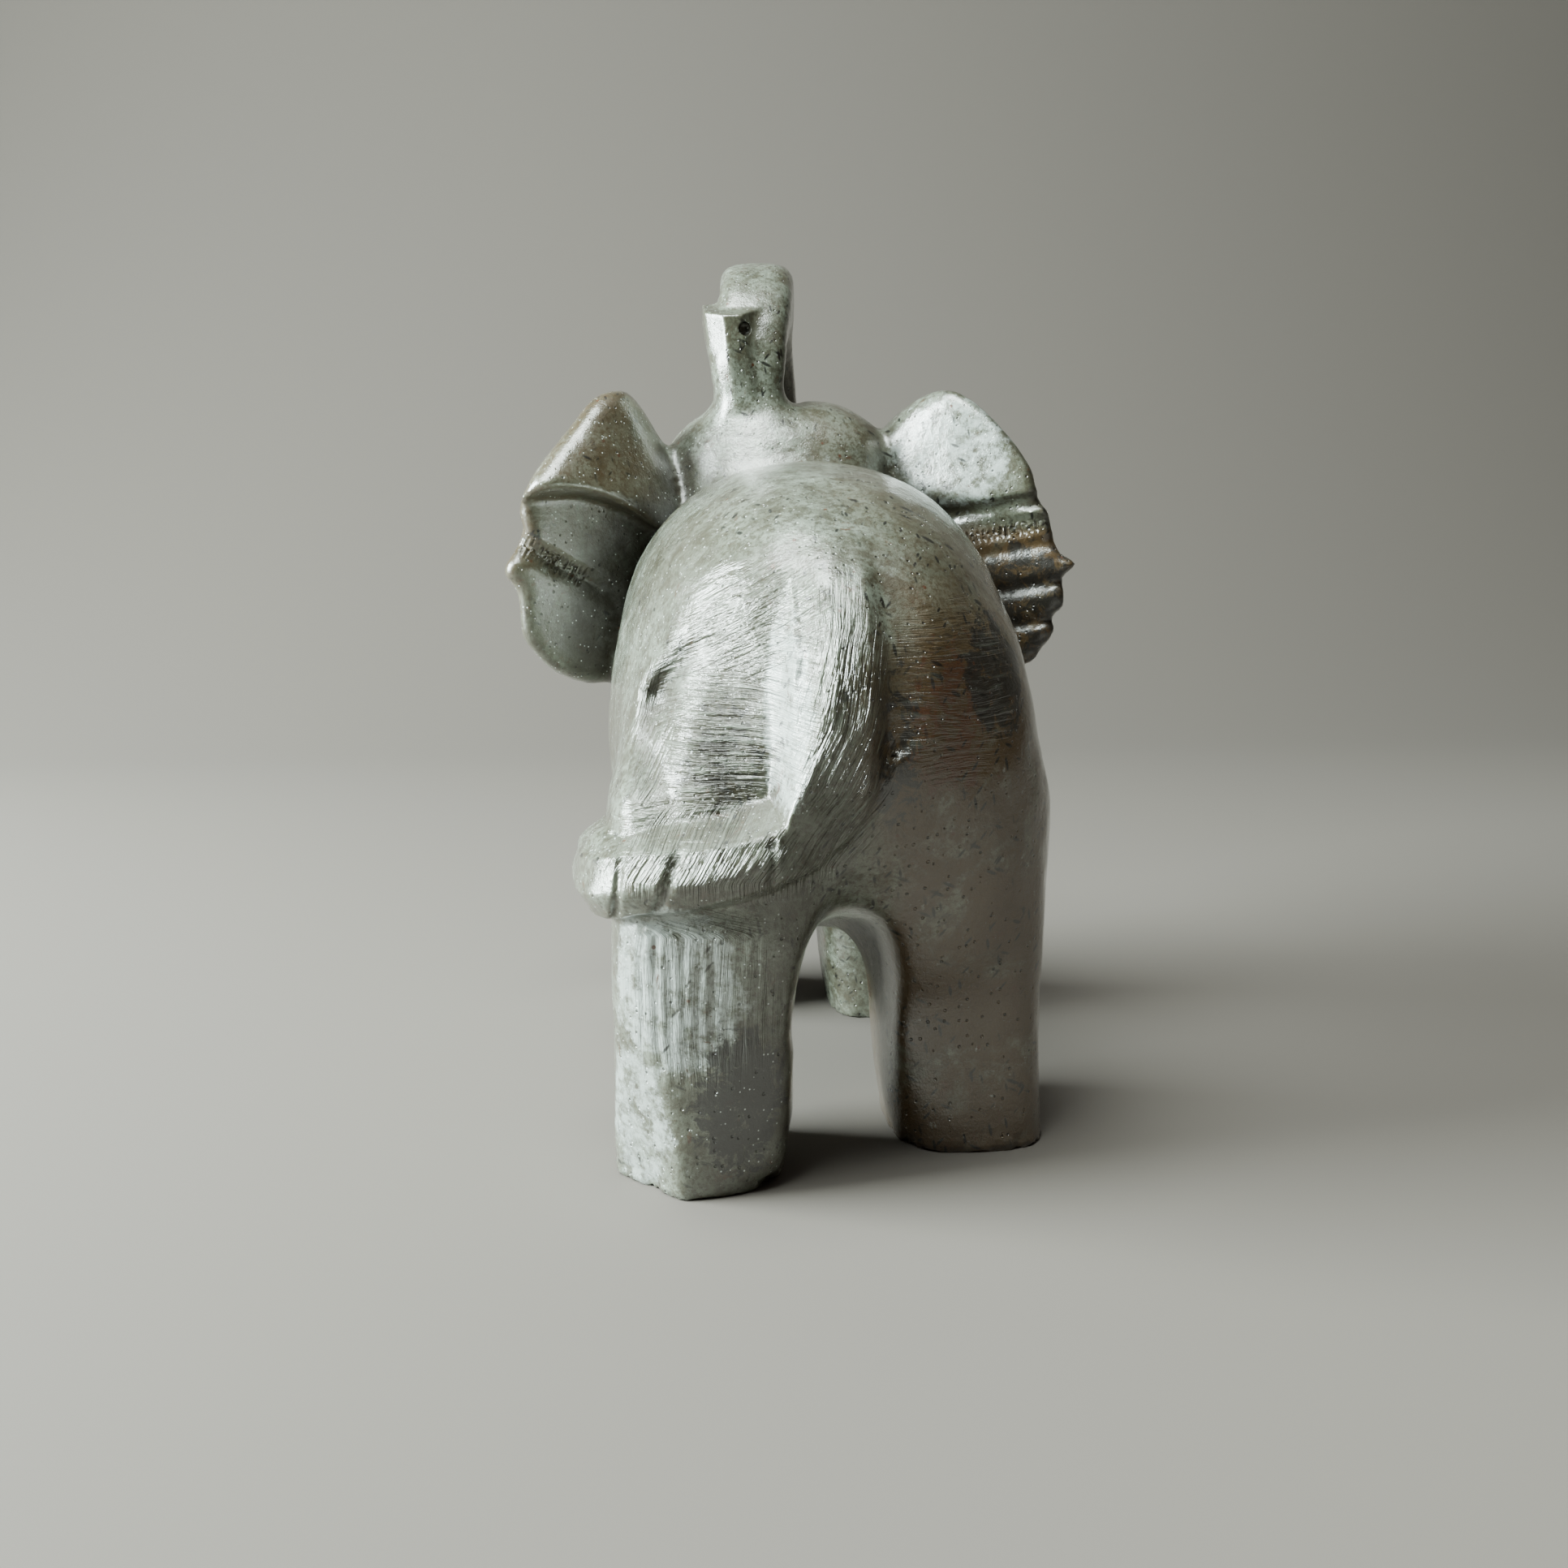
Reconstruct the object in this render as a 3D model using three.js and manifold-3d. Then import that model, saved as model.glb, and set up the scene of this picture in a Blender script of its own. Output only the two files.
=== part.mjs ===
// Elephant carved from one block of jasper. It walks, its ears stand out, and its trunk curls back over
// its crown. Millimetres. Z is up, the elephant faces +Y, and +X is the right-hand side of someone who stands
// behind it. The whole form is one field: a number for each place, below nought inside the stone, and near
// the distance from the surface. Rounded forms are joined and cut with soft seams, then the field is meshed
// once as one solid.
import * as THREE from 'three';
import { mergeVertices } from 'three/addons/utils/BufferGeometryUtils.js';
import Module from 'manifold-3d';

// Driving dimensions
const BODY_LENGTH = 72;
const BODY_HALF_WIDTH = 18.5;
const BACK_HEIGHT = 60;
const BODY_FRONT_SHIFT = 21;
const KNEE_HEIGHT = 16;
const LEG_TOP = 34;
const LEG_POWER = 3.2;
const EAR_SWEEP = THREE.MathUtils.degToRad(32);
const EAR_ROOT = 10;
const EAR_ROOT_DEPTH = 47.5;
const EAR_THICKNESS = 5;
const EAR_ROUNDING = 2.4;
const EAR_STEPS = 3;
const COLUMN_FOOT = 62;
const COLUMN_TOP = 76.6;
const NOSTRIL = { x: -4.3, z: 75, end: 42.6, radius: 0.6 };
const FOOT_EXCESS = 3;

// Widths over which the forms melt into each other
const SEAM = {
  belly: 5, limbs: 4, legs: 3.5, betweenLegs: 1, legTop: 6, crotch: 2, foot: 0.5, tuft: 0.5,
  cheeks: 4, jaw: 3, crown: 2.5, head: 5, socket: 0.6, eye: 0.2,
  trunk: 2.5, trunkEnd: 0.5, facet: 0.3, earEdge: 1.5, ears: 1.2,
};
const SEAM_REACH = 6;

// Meshing: the cells of the first mesh, its bounds, and the number of triangles that are kept of it
const CELL = 1.5;
const BOUNDS = { min: [-34, -21, -5], max: [35, 75, 87] };
const KEPT_TRIANGLES = 9000;

const clamp = (v, low, high) => Math.min(Math.max(v, low), high);
const mix = (a, b, t) => a + (b - a) * t;
const ramp = (v, from, to) => {
  const t = clamp((v - from) / (to - from), 0, 1);
  return t * t * (3 - 2 * t);
};

// Two fields joined, or cut, with a seam that is rounded over the width k
const join = (a, b, k) => {
  const h = clamp(0.5 + (0.5 * (b - a)) / k, 0, 1);
  return mix(b, a, h) - k * h * (1 - h);
};
const meet = (a, b, k) => -join(-a, -b, k);
const carve = (a, tool, k) => meet(a, -tool, k);

// Level over or under a plane through a point
function plane(point, normal) {
  const n = new THREE.Vector3(...normal).normalize();
  const offset = n.dot(new THREE.Vector3(...point));
  return (x, y, z) => n.x * x + n.y * y + n.z * z - offset;
}

// Rounded lump: an ellipsoid at power 2, and squarer above that. Pitch tips its length upwards at the front.
function lump(centre, radii, power = 2, pitch = 0) {
  const turn = new THREE.Matrix4().makeRotationX(THREE.MathUtils.degToRad(pitch));
  const along = [0, 4, 8].map((i) => turn.elements.slice(i, i + 3));
  return (x, y, z) => {
    const [dx, dy, dz] = [x - centre[0], y - centre[1], z - centre[2]];
    let total = 0;
    let slope = 0;
    for (let i = 0; i < 3; i++) {
      const [ax, ay, az] = along[i];
      const u = Math.abs(ax * dx + ay * dy + az * dz) / radii[i] + 1e-6;
      total += u ** power;
      slope += (u ** (power - 1) / radii[i]) ** 2;
    }
    const f = total ** (1 / power);
    return (f - 1) / (Math.sqrt(slope) * f ** (1 - power));
  };
}

// Form that is worked out only near its box. Farther off than any seam is wide, the distance from the box
// will do.
function near(low, high, form) {
  return (x, y, z) => {
    const gaps = [x, y, z].map((v, i) => Math.max(low[i] - v, 0, v - high[i]));
    const away = Math.hypot(...gaps);
    return away > SEAM_REACH ? away : form(x, y, z);
  };
}

// Rounded rectangle of half sizes hx, hy about nought
function slabSection(dx, dy, hx, hy, power) {
  const ux = Math.abs(dx) / hx + 1e-6;
  const uy = Math.abs(dy) / hy + 1e-6;
  const f = (ux ** power + uy ** power) ** (1 / power);
  const slope = Math.hypot(ux ** (power - 1) / hx, uy ** (power - 1) / hy) * f ** (1 - power);
  return (f - 1) / slope;
}

// Smooth line through rows of numbers, with the given number of steps from one row to the next
function smoothRows(rows, steps, closed = false) {
  const count = rows.length;
  const at = (i) => {
    if (closed) return rows[(i + count) % count];
    if (i < 0) return rows[0].map((v, j) => 2 * v - rows[1][j]);
    if (i >= count) return rows[count - 1].map((v, j) => 2 * v - rows[count - 2][j]);
    return rows[i];
  };
  const line = [];
  for (let i = 0; i < (closed ? count : count - 1); i++) {
    const [a, b, c, d] = [at(i - 1), at(i), at(i + 1), at(i + 2)];
    for (let s = 0; s < steps; s++) {
      const t = s / steps;
      line.push(b.map((v, j) => {
        const bend = 2 * a[j] - 5 * v + 4 * c[j] - d[j];
        const twist = 3 * v - a[j] - 3 * c[j] + d[j];
        return 0.5 * (2 * v + (c[j] - a[j]) * t + bend * t ** 2 + twist * t ** 3);
      }));
    }
  }
  if (!closed) line.push(rows[count - 1]);
  return line;
}

// Runs from place to place, level beyond both ends. Each is straight at softness 0, and eased at 1.
function through(v, places, values, softness = 0) {
  let out = values[0];
  for (let i = 0; i + 1 < places.length; i++) {
    const along = clamp((v - places[i]) / (places[i + 1] - places[i]), 0, 1);
    const eased = along * along * (3 - 2 * along);
    out += (values[i + 1] - values[i]) * mix(along, eased, softness);
  }
  return out;
}

// Body: barrel, with the haunches and shoulders over the legs
const barrel = lump(
  [0, BODY_FRONT_SHIFT, BACK_HEIGHT - 22],
  [BODY_HALF_WIDTH + 0.2, BODY_LENGTH / 2, 22],
  2.25,
);
const belly = lump([0, BODY_FRONT_SHIFT + 1, 31], [BODY_HALF_WIDTH - 0.7, 31, 15.5], 2.5);
const haunches = [lump([-9.2, -1.5, 28], [8.6, 12.8, 15], 2.5), lump([9, 3, 30], [8.9, 13, 17.5], 2.4)];
const shoulders = [-8.8, 8.8].map((x) => lump([x, 41, 31], [9.8, 11, 17], 2.3));

// Legs: centre and half sizes at the foot, then at the knee
const LEGS = [
  { foot: [-12.0, -5.8, 7.1, 8.2], knee: [-11.3, -5.0, 7.8, 8.9], cuts: [
    { at: plane([-14.6, -13.2, 4], [-0.74, -0.62, -0.16]), k: 0.8 },
    { at: plane([-10, -13.5, 4], [0.25, -0.94, -0.2]), k: 1.2 },
    { at: plane([-6.2, -12.5, 2], [0.62, -0.5, -0.6]), k: 1 },
  ] },
  { foot: [12.4, 3.4, 6.9, 8.9], knee: [11.2, 3.8, 7.8, 9.4], cuts: [] },
  { foot: [-11.4, 45.0, 6.6, 7.4], knee: [-10.9, 44.0, 7.6, 8.4], cuts: [] },
  { foot: [11.4, 40.5, 6.6, 7.4], knee: [10.9, 40.5, 7.6, 8.4], cuts: [] },
];

function leg({ foot, knee, cuts }, x, y, z) {
  const t = clamp(z / KNEE_HEIGHT, 0, 1);
  const along = t * (2 - t);
  const [cx, cy, hx, hy] = foot.map((v, i) => mix(v, knee[i], along));
  let f = meet(slabSection(x - cx, y - cy, hx, hy, LEG_POWER), z - LEG_TOP, SEAM.legTop);
  for (const { at, k } of cuts) f = meet(f, at(x, y, z), k);
  return f;
}

// Gap between the hind legs, which rises towards the rear
const crotch = lump([0.4, -4, 12], [3.9, 26, 8.6], 2.5, -14);

// Rump, by height: places across it from the rim of the ground hollow to the groove right of the tail,
// then how far the surface stands proud of the plain body at each of them
const RUMP = [
  { z: 25.0, across: [-18.4, -14.0, -6.5, -6.1, 0.5, 2.4, 5.0], proud: [0, -0.7, -1.4, 2.2, 1, 0, 0] },
  { z: 30.0, across: [-18.4, -14.0, -6.5, -6.1, 0.6, 2.6, 5.5], proud: [0, -1.4, -2.4, 2.2, 1.3, -0.3, 0] },
  { z: 33.0, across: [-18.2, -14.0, -6.5, -5.9, 0.8, 2.8, 6.0], proud: [0, -1.7, -2.7, 2.1, 1.4, -0.5, 0] },
  { z: 36.5, across: [-17.6, -14.2, -6.6, -4.5, 0.9, 2.9, 6.5], proud: [0, -1.9, -2.8, 2, 1.4, -0.8, 0] },
  { z: 40.0, across: [-16.8, -14.0, -6.6, -3.4, 0.9, 2.9, 7.0], proud: [0, -1.8, -2.6, 1.9, 1.3, -0.9, 0] },
  { z: 43.0, across: [-15.2, -12.4, -6.5, -2.3, 0.9, 2.9, 7.0], proud: [0, -1.2, -2.1, 1.7, 1.2, -0.8, 0] },
  { z: 46.0, across: [-12.8, -9.8, -6.2, -1.8, 0.9, 2.8, 6.5], proud: [0, -0.6, -1.3, 1.4, 1, -0.6, 0] },
  { z: 48.5, across: [-10.6, -8.2, -5.6, -1.7, 0.9, 2.6, 6.0], proud: [0, -0.2, -0.6, 1, 0.7, -0.3, 0] },
  { z: 51.0, across: [-9.0, -6.8, -4.6, -1.2, 0.8, 2.4, 5.0], proud: [0, 0, -0.1, 0.5, 0.3, 0, 0] },
  { z: 54.0, across: [-8.5, -6.5, -4.5, -0.6, 0.6, 2.0, 4.0], proud: [0, 0, 0, 0, 0, 0, 0] },
];
const RUMP_LINE = smoothRows(RUMP.map(({ z, across, proud }) => [z, ...across, ...proud]), 4);
const RUMP_KNOTS = RUMP[0].across.length;
const CARVING_SOFTNESS = 0.6;

// Tuft of the tail, which lies across the left thigh: its two edges at places across the rump, how far it
// stands proud from its lower edge to its upper one, and its notches
const TUFT = {
  x: [-22, -19.2, -16.6, -13.6, -9.7, -6.5, -5, -2.6, -0.2, 1.8, 3.2, 7.5],
  top: [29, 29.9, 30.5, 30.7, 31.2, 32, 32.5, 33, 33, 33, 33, 33],
  bottom: [22.6, 23.1, 24, 24.4, 25.3, 26.2, 26.5, 27.3, 29.4, 32.6, 36, 38],
  proud: [0, 1.9, 2.9, 2.3, -2.5],
  root: -4.4,
};
const NOTCHES = [
  { x: -6.7, lean: 0.02, depth: 0.8, half: 0.45 },
  { x: -14.6, lean: 0.35, depth: 1.6, half: 1.1 },
  { x: -18.3, lean: 0.1, depth: 0.9, half: 0.6 },
];
const tuftEnd = lump([-18.2, -7.6, 26.2], [3.5, 4.4, 3.8], 2.3);

function rumpRelief(x, y, z) {
  const fade = ramp(-y, -6, 0);
  if (fade === 0) return 0;
  const level = clamp(z, RUMP_LINE[0][0], RUMP_LINE.at(-1)[0]);
  const i = Math.min(RUMP_LINE.findLastIndex((row) => row[0] <= level), RUMP_LINE.length - 2);
  const [row, next] = [RUMP_LINE[i], RUMP_LINE[i + 1]];
  const t = (level - row[0]) / (next[0] - row[0]);
  const blended = row.map((v, j) => mix(v, next[j], t)).slice(1);
  const top = through(x, TUFT.x, TUFT.top);
  const bottom = through(x, TUFT.x, TUFT.bottom);
  let h = through(x, blended.slice(0, RUMP_KNOTS), blended.slice(RUMP_KNOTS), CARVING_SOFTNESS);
  h *= ramp(z, bottom - 0.6, bottom + 0.9);
  if (x < TUFT.root) {
    const ledge = [bottom - 0.7, bottom + 0.5, bottom + 2.6, top - 1.4, top + 0.7];
    const proud = through(z, ledge, TUFT.proud, CARVING_SOFTNESS);
    h = Math.max(h, proud * ramp(-x, -TUFT.root, 1.8 - TUFT.root));
  }
  const within = ramp(z, bottom - 0.5, bottom + 0.8) * ramp(-z, 0.2 - top, 1.6 - top);
  for (const n of NOTCHES) {
    h -= n.depth * clamp(1 - Math.abs(x - n.x - n.lean * (z - 27)) / n.half, 0, 1) * within;
  }
  return h * fade;
}

// Head: skull with a shallow groove along the crown, cheeks, lower jaw
const skull = lump([0, 49.5, 56.5], [14, 12.5, 12], 2.4);
const cheeks = lump([0, 53, 48], [11, 13, 13], 2.2);
const jaw = lump([0, 61.5, 39], [4.4, 7.5, 4], 2.2, 18);
const crownGroove = lump([0, 49, 70], [2, 15, 2]);

const head = near([-15, 36, 34], [15, 71, 70], (x, y, z) => {
  let f = join(skull(x, y, z), cheeks(x, y, z), SEAM.cheeks);
  f = join(f, jaw(x, y, z), SEAM.jaw);
  return carve(f, crownGroove(x, y, z), SEAM.crown);
});

const EYES = [-1, 1].map((side) => ({
  socket: lump([side * 12.4, 58.9, 55.2], [1.6, 2.4, 1.7]),
  ball: lump([side * 11.2, 58.5, 55.2], [1.2, 1.5, 1.15]),
}));

// Trunk: centre line x, y, z, then half width and half thickness, from the face up and back over the crown.
// Each place is measured from the nearest place of the line as the trunk is seen from its side.
const TRUNK_POWER = 4;
const TRUNK = smoothRows([
  [0, 56, 49, 7.5, 8],
  [0, 62.5, 52.5, 6.2, 6.5],
  [-0.3, 66.2, 59.5, 5.2, 5.4],
  [-0.8, 66.4, 68, 4.7, 4.8],
  [-1.4, 63, 75.8, 4.5, 4.5],
  [-2, 56, 79.6, 4.4, 4.4],
  [-2.7, 49.5, 77.6, 4.3, 4.3],
  [-3.6, 45.6, 72.4, 4.2, 4.2],
  [-3.6, 44.6, 65, 3.4, 3.8],
], 4);

const trunk = near([-9, 40, 40], [9, 73, 85], (x, y, z) => {
  let nearest = Infinity;
  let row = TRUNK[0];
  let share = 0;
  let next = TRUNK[1];
  for (let i = 0; i + 1 < TRUNK.length; i++) {
    const [a, b] = [TRUNK[i], TRUNK[i + 1]];
    const dy = b[1] - a[1];
    const dz = b[2] - a[2];
    const t = clamp(((y - a[1]) * dy + (z - a[2]) * dz) / (dy * dy + dz * dz), 0, 1);
    const away = Math.hypot(y - a[1] - t * dy, z - a[2] - t * dz);
    if (away < nearest) {
      nearest = away;
      row = a;
      next = b;
      share = t;
    }
  }
  const at = (j) => mix(row[j], next[j], share);
  return slabSection(x - at(0), nearest, at(3), at(4), TRUNK_POWER);
});

// Faceted end of the trunk, which leans on the back of the crown: a block that widens upwards, with its two
// rear corners cut to facets, a sloping top and one bored nostril
const columnTop = plane([-5.2, 41, COLUMN_TOP], [-0.06, -0.3, 1]);

const trunkEnd = near([-10, 39, 60], [2, 49, 79], (x, y, z) => {
  const t = clamp((z - COLUMN_FOOT) / (COLUMN_TOP - COLUMN_FOOT), 0, 1);
  const dx = x + 3.1 + 1.9 * t;
  const dy = y - 43.8 - t;
  const half = 3.5 + 0.3 * t * t;
  let f = meet(Math.abs(dx) - half, Math.abs(dy) - 3.3 - 0.5 * t, 0.4);
  f = meet(f, -0.8 * dx - 0.6 * dy - half, SEAM.facet);
  f = meet(f, 0.8 * dx - 0.6 * dy - 2.4 - 0.2 * t, SEAM.facet);
  f = meet(f, columnTop(x, y, z), 0.4);
  f = meet(f, COLUMN_FOOT - 2 - z, 1);
  const bore = Math.max(Math.hypot(x - NOSTRIL.x, z - NOSTRIL.z) - NOSTRIL.radius, y - NOSTRIL.end);
  return carve(f, bore, SEAM.facet);
});

// Ears: outline as distance from the middle and height, the grooves across each, the edge under its upper
// fold, and how far the fold and the disc below it bulge. The fold is a cone that widens from tip to foot.
const FOLD = { tip: [17.2, 70], foot: [19.4, 57.4], tipHalf: 1, footHalf: 9.4 };
const DISC = { middle: 22, half: 9 };
const EARS = [
  {
    side: -1,
    ring: smoothRows([
      [8, 56], [10.8, 59.9], [13.4, 63.8], [16.1, 67.6], [17.8, 68.6], [20.9, 67.4], [23.5, 64],
      [25.9, 60.8], [27.8, 57.6], [28.5, 55.4], [28.2, 53.6], [29.1, 51.4], [30.2, 49.2], [28.9, 47],
      [28.6, 42.8], [27.4, 40.8], [25, 38.3], [19.6, 37], [12, 41], [8, 48],
    ], EAR_STEPS, true),
    grooves: [{ from: [30.5, 53.4], to: [19, 46.6], depth: 1.2, half: 1.6 }],
    step: (u) => 57.4 - 0.045 * (u - 23.5) ** 2,
    stepRise: 0.9,
    stepWidth: 0.2,
    foldBulge: 0.5,
    discBulge: 1,
    taper: 0.06,
  },
  {
    side: 1,
    ring: smoothRows([
      [7, 58], [9.8, 62.4], [12.5, 65.8], [15, 68], [17.6, 68.9], [20.4, 67.6], [23.4, 64.4],
      [25.9, 60.6], [26.7, 57.6], [27.9, 55.2], [28.7, 52.8], [29.2, 51.2], [30.6, 50], [29.6, 48.3],
      [29.7, 45.6], [28.8, 44.3], [28.8, 42.6], [27.6, 40.4], [25.6, 38.6], [20, 37.6], [12, 40], [7, 50],
    ], EAR_STEPS, true),
    grooves: [
      { from: [28.5, 57], to: [14, 54.6], depth: 1.2, half: 1 },
      { from: [31, 53], to: [16, 49.6], depth: 0.5, half: 0.9 },
      { from: [31, 48.6], to: [16, 45.6], depth: 0.7, half: 1 },
      { from: [31, 44.4], to: [16, 42], depth: 0.6, half: 0.9 },
      { from: [29, 41], to: [18, 39.4], depth: 0.5, half: 0.9 },
    ],
    step: (u) => 55.6 - 0.1 * (u - 22),
    stepRise: 1,
    stepWidth: 0.5,
    foldBulge: 0.1,
    discBulge: 0,
    taper: 0,
  },
];

// Distance from a closed outline, below nought inside it
function outlineDistance(u, v, ring) {
  let nearest = Infinity;
  let inside = false;
  for (let i = 0; i < ring.length; i++) {
    const [ax, ay] = ring[i];
    const [bx, by] = ring[(i + 1) % ring.length];
    const [ex, ey] = [bx - ax, by - ay];
    const t = clamp(((u - ax) * ex + (v - ay) * ey) / (ex * ex + ey * ey), 0, 1);
    nearest = Math.min(nearest, Math.hypot(u - ax - t * ex, v - ay - t * ey));
    if (ay > v !== by > v && u < ax + ((v - ay) / ey) * ex) inside = !inside;
  }
  return inside ? -nearest : nearest;
}

// Bulge at a distance across a round form: a share of its half circle
const bulge = (across, half) => half * Math.sqrt(Math.max(1 - (across / half) ** 2, 0));

function foldBulge(u, v) {
  const [du, dv] = [FOLD.foot[0] - FOLD.tip[0], FOLD.foot[1] - FOLD.tip[1]];
  const length = Math.hypot(du, dv);
  const [pu, pv] = [u - FOLD.tip[0], v - FOLD.tip[1]];
  const t = clamp((pu * du + pv * dv) / length ** 2, 0, 1);
  return bulge((pu * dv - pv * du) / length, mix(FOLD.tipHalf, FOLD.footHalf, t));
}

function ear(shape, x, y, z) {
  const u = shape.side * x;
  const middle = EAR_ROOT_DEPTH - clamp(u - EAR_ROOT, 0, 25) * Math.tan(EAR_SWEEP);
  const over = z - shape.step(u);
  const above = 1 / (1 + Math.exp(-clamp(over / shape.stepWidth, -40, 40)));
  const disc = (shape.discBulge / DISC.half) * bulge(u - DISC.middle, DISC.half);
  let rear = EAR_THICKNESS / 2 + 0.1 + mix(disc, shape.stepRise + shape.foldBulge * foldBulge(u, z), above);
  rear -= shape.taper * clamp(over, 0, 12);
  let front = EAR_THICKNESS / 2 - 0.1;
  for (const { from, to, depth, half } of shape.grooves) {
    const [ex, ey] = [to[0] - from[0], to[1] - from[1]];
    const t = clamp(((u - from[0]) * ex + (z - from[1]) * ey) / (ex * ex + ey * ey), 0, 1);
    const away = Math.hypot(u - from[0] - t * ex, z - from[1] - t * ey);
    const cut = depth * (1 - 0.6 * t) * clamp(1 - away / half, 0, 1);
    rear -= cut;
    front -= 0.6 * cut;
  }
  const off = (y - middle) * Math.cos(EAR_SWEEP);
  const slab = meet(off - front, -off - rear, SEAM.earEdge);
  return meet(outlineDistance(u, z, shape.ring), slab, EAR_ROUNDING);
}

const ears = EARS.map((shape) => {
  const [inner, outer] = [shape.side * 7, shape.side * 32];
  const [low, high] = [Math.min(inner, outer), Math.max(inner, outer)];
  return near([low, 28, 36], [high, 54, 70], (x, y, z) => ear(shape, x, y, z));
});

// The whole elephant
function elephant(x, y, z) {
  const at = (form) => form(x, y, z);
  let f = join(at(barrel), at(belly), SEAM.belly);
  const limbs = [...haunches, ...shoulders].map(at).reduce((a, b) => join(a, b, SEAM.limbs));
  f = join(f, limbs, SEAM.limbs);
  const legs = LEGS.map((shape) => leg(shape, x, y, z)).reduce((a, b) => join(a, b, SEAM.betweenLegs));
  f = join(f, legs, SEAM.legs);
  f = carve(f, at(crotch), SEAM.crotch);
  f -= rumpRelief(x, y, z);
  f = join(f, at(tuftEnd), SEAM.tuft);
  f = join(f, at(head), SEAM.head);
  for (const { socket, ball } of EYES) f = join(carve(f, at(socket), SEAM.socket), at(ball), SEAM.eye);
  f = join(f, at(trunk), SEAM.trunk);
  f = join(f, at(trunkEnd), SEAM.trunkEnd);
  f = join(f, Math.min(...ears.map(at)), SEAM.ears);
  return meet(f, -FOOT_EXCESS - z, SEAM.foot);
}

// Six tetrahedra that fill a cell round its main diagonal. A corner's number has one bit each for x, y and z.
const TETRAHEDRA = [[0, 1, 3, 7], [0, 3, 2, 7], [0, 2, 6, 7], [0, 6, 4, 7], [0, 4, 5, 7], [0, 5, 1, 7]];

// Closed mesh of the surface where the field is nought, with its faces out
function meshField(field, { min, max }, cell) {
  const count = min.map((low, i) => Math.ceil((max[i] - low) / cell) + 1);
  const stride = [1, count[0], count[0] * count[1]];
  const place = (n) => [n % count[0], Math.floor(n / stride[1]) % count[1], Math.floor(n / stride[2])]
    .map((v, i) => min[i] + v * cell);
  const values = new Float64Array(stride[2] * count[2]);
  for (let n = 0; n < values.length; n++) values[n] = field(...place(n));

  const vertices = [];
  const numbers = new Map();
  const crossing = (a, b) => {
    const [low, high] = a < b ? [a, b] : [b, a];
    const key = low * stride[2] * 2 + (high - low);
    if (numbers.has(key)) return numbers.get(key);
    const t = values[low] / (values[low] - values[high]);
    const from = place(low);
    const to = place(high);
    vertices.push(drawn(field, from.map((v, i) => mix(v, to[i], clamp(t, 0.02, 0.98)))));
    numbers.set(key, vertices.length - 1);
    return vertices.length - 1;
  };

  const triangles = [];
  const corner = (n, c) => n + (c & 1) * stride[0] + ((c >> 1) & 1) * stride[1] + ((c >> 2) & 1) * stride[2];
  for (let k = 0; k + 1 < count[2]; k++) {
    for (let j = 0; j + 1 < count[1]; j++) {
      for (let i = 0; i + 1 < count[0]; i++) {
        const n = i + j * stride[1] + k * stride[2];
        for (const tetrahedron of TETRAHEDRA) {
          const at = tetrahedron.map((c) => corner(n, c));
          const side = (p) => (values[at[p]] < 0 ? 0 : 1);
          const order = [0, 1, 2, 3].sort((p, q) => side(p) - side(q));
          const within = order.filter((p) => values[at[p]] < 0).length;
          if (within === 0 || within === 4) continue;
          if (isOdd(order)) {
            const [i1, i2] = within === 1 ? [2, 3] : [0, 1];
            [order[i1], order[i2]] = [order[i2], order[i1]];
          }
          const [a, b, c, d] = order.map((p) => at[p]);
          if (within === 1) triangles.push([crossing(a, b), crossing(a, c), crossing(a, d)]);
          if (within === 3) triangles.push([crossing(a, d), crossing(b, d), crossing(c, d)]);
          if (within === 2) {
            const [p, q, r, s] = [crossing(a, c), crossing(a, d), crossing(b, d), crossing(b, c)];
            triangles.push([p, q, r], [p, r, s]);
          }
        }
      }
    }
  }
  return { vertices, triangles };
}

function isOdd(order) {
  const turned = order.flatMap((p, i) => order.slice(i + 1).filter((q) => p > q));
  return turned.length % 2 === 1;
}

// A point drawn along the field's slope until it lies on the surface
function drawn(field, [x, y, z]) {
  const e = 0.02;
  const longest = 0.5;
  let at = [x, y, z];
  for (let turn = 0; turn < 2; turn++) {
    const f = field(...at);
    const slope = [0, 1, 2].map((i) => (field(...at.map((v, j) => (i === j ? v + e : v))) - f) / e);
    const square = slope[0] ** 2 + slope[1] ** 2 + slope[2] ** 2;
    const step = clamp(f / Math.max(square, 0.1), -longest, longest);
    at = at.map((v, i) => v - step * slope[i]);
  }
  return at;
}

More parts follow.
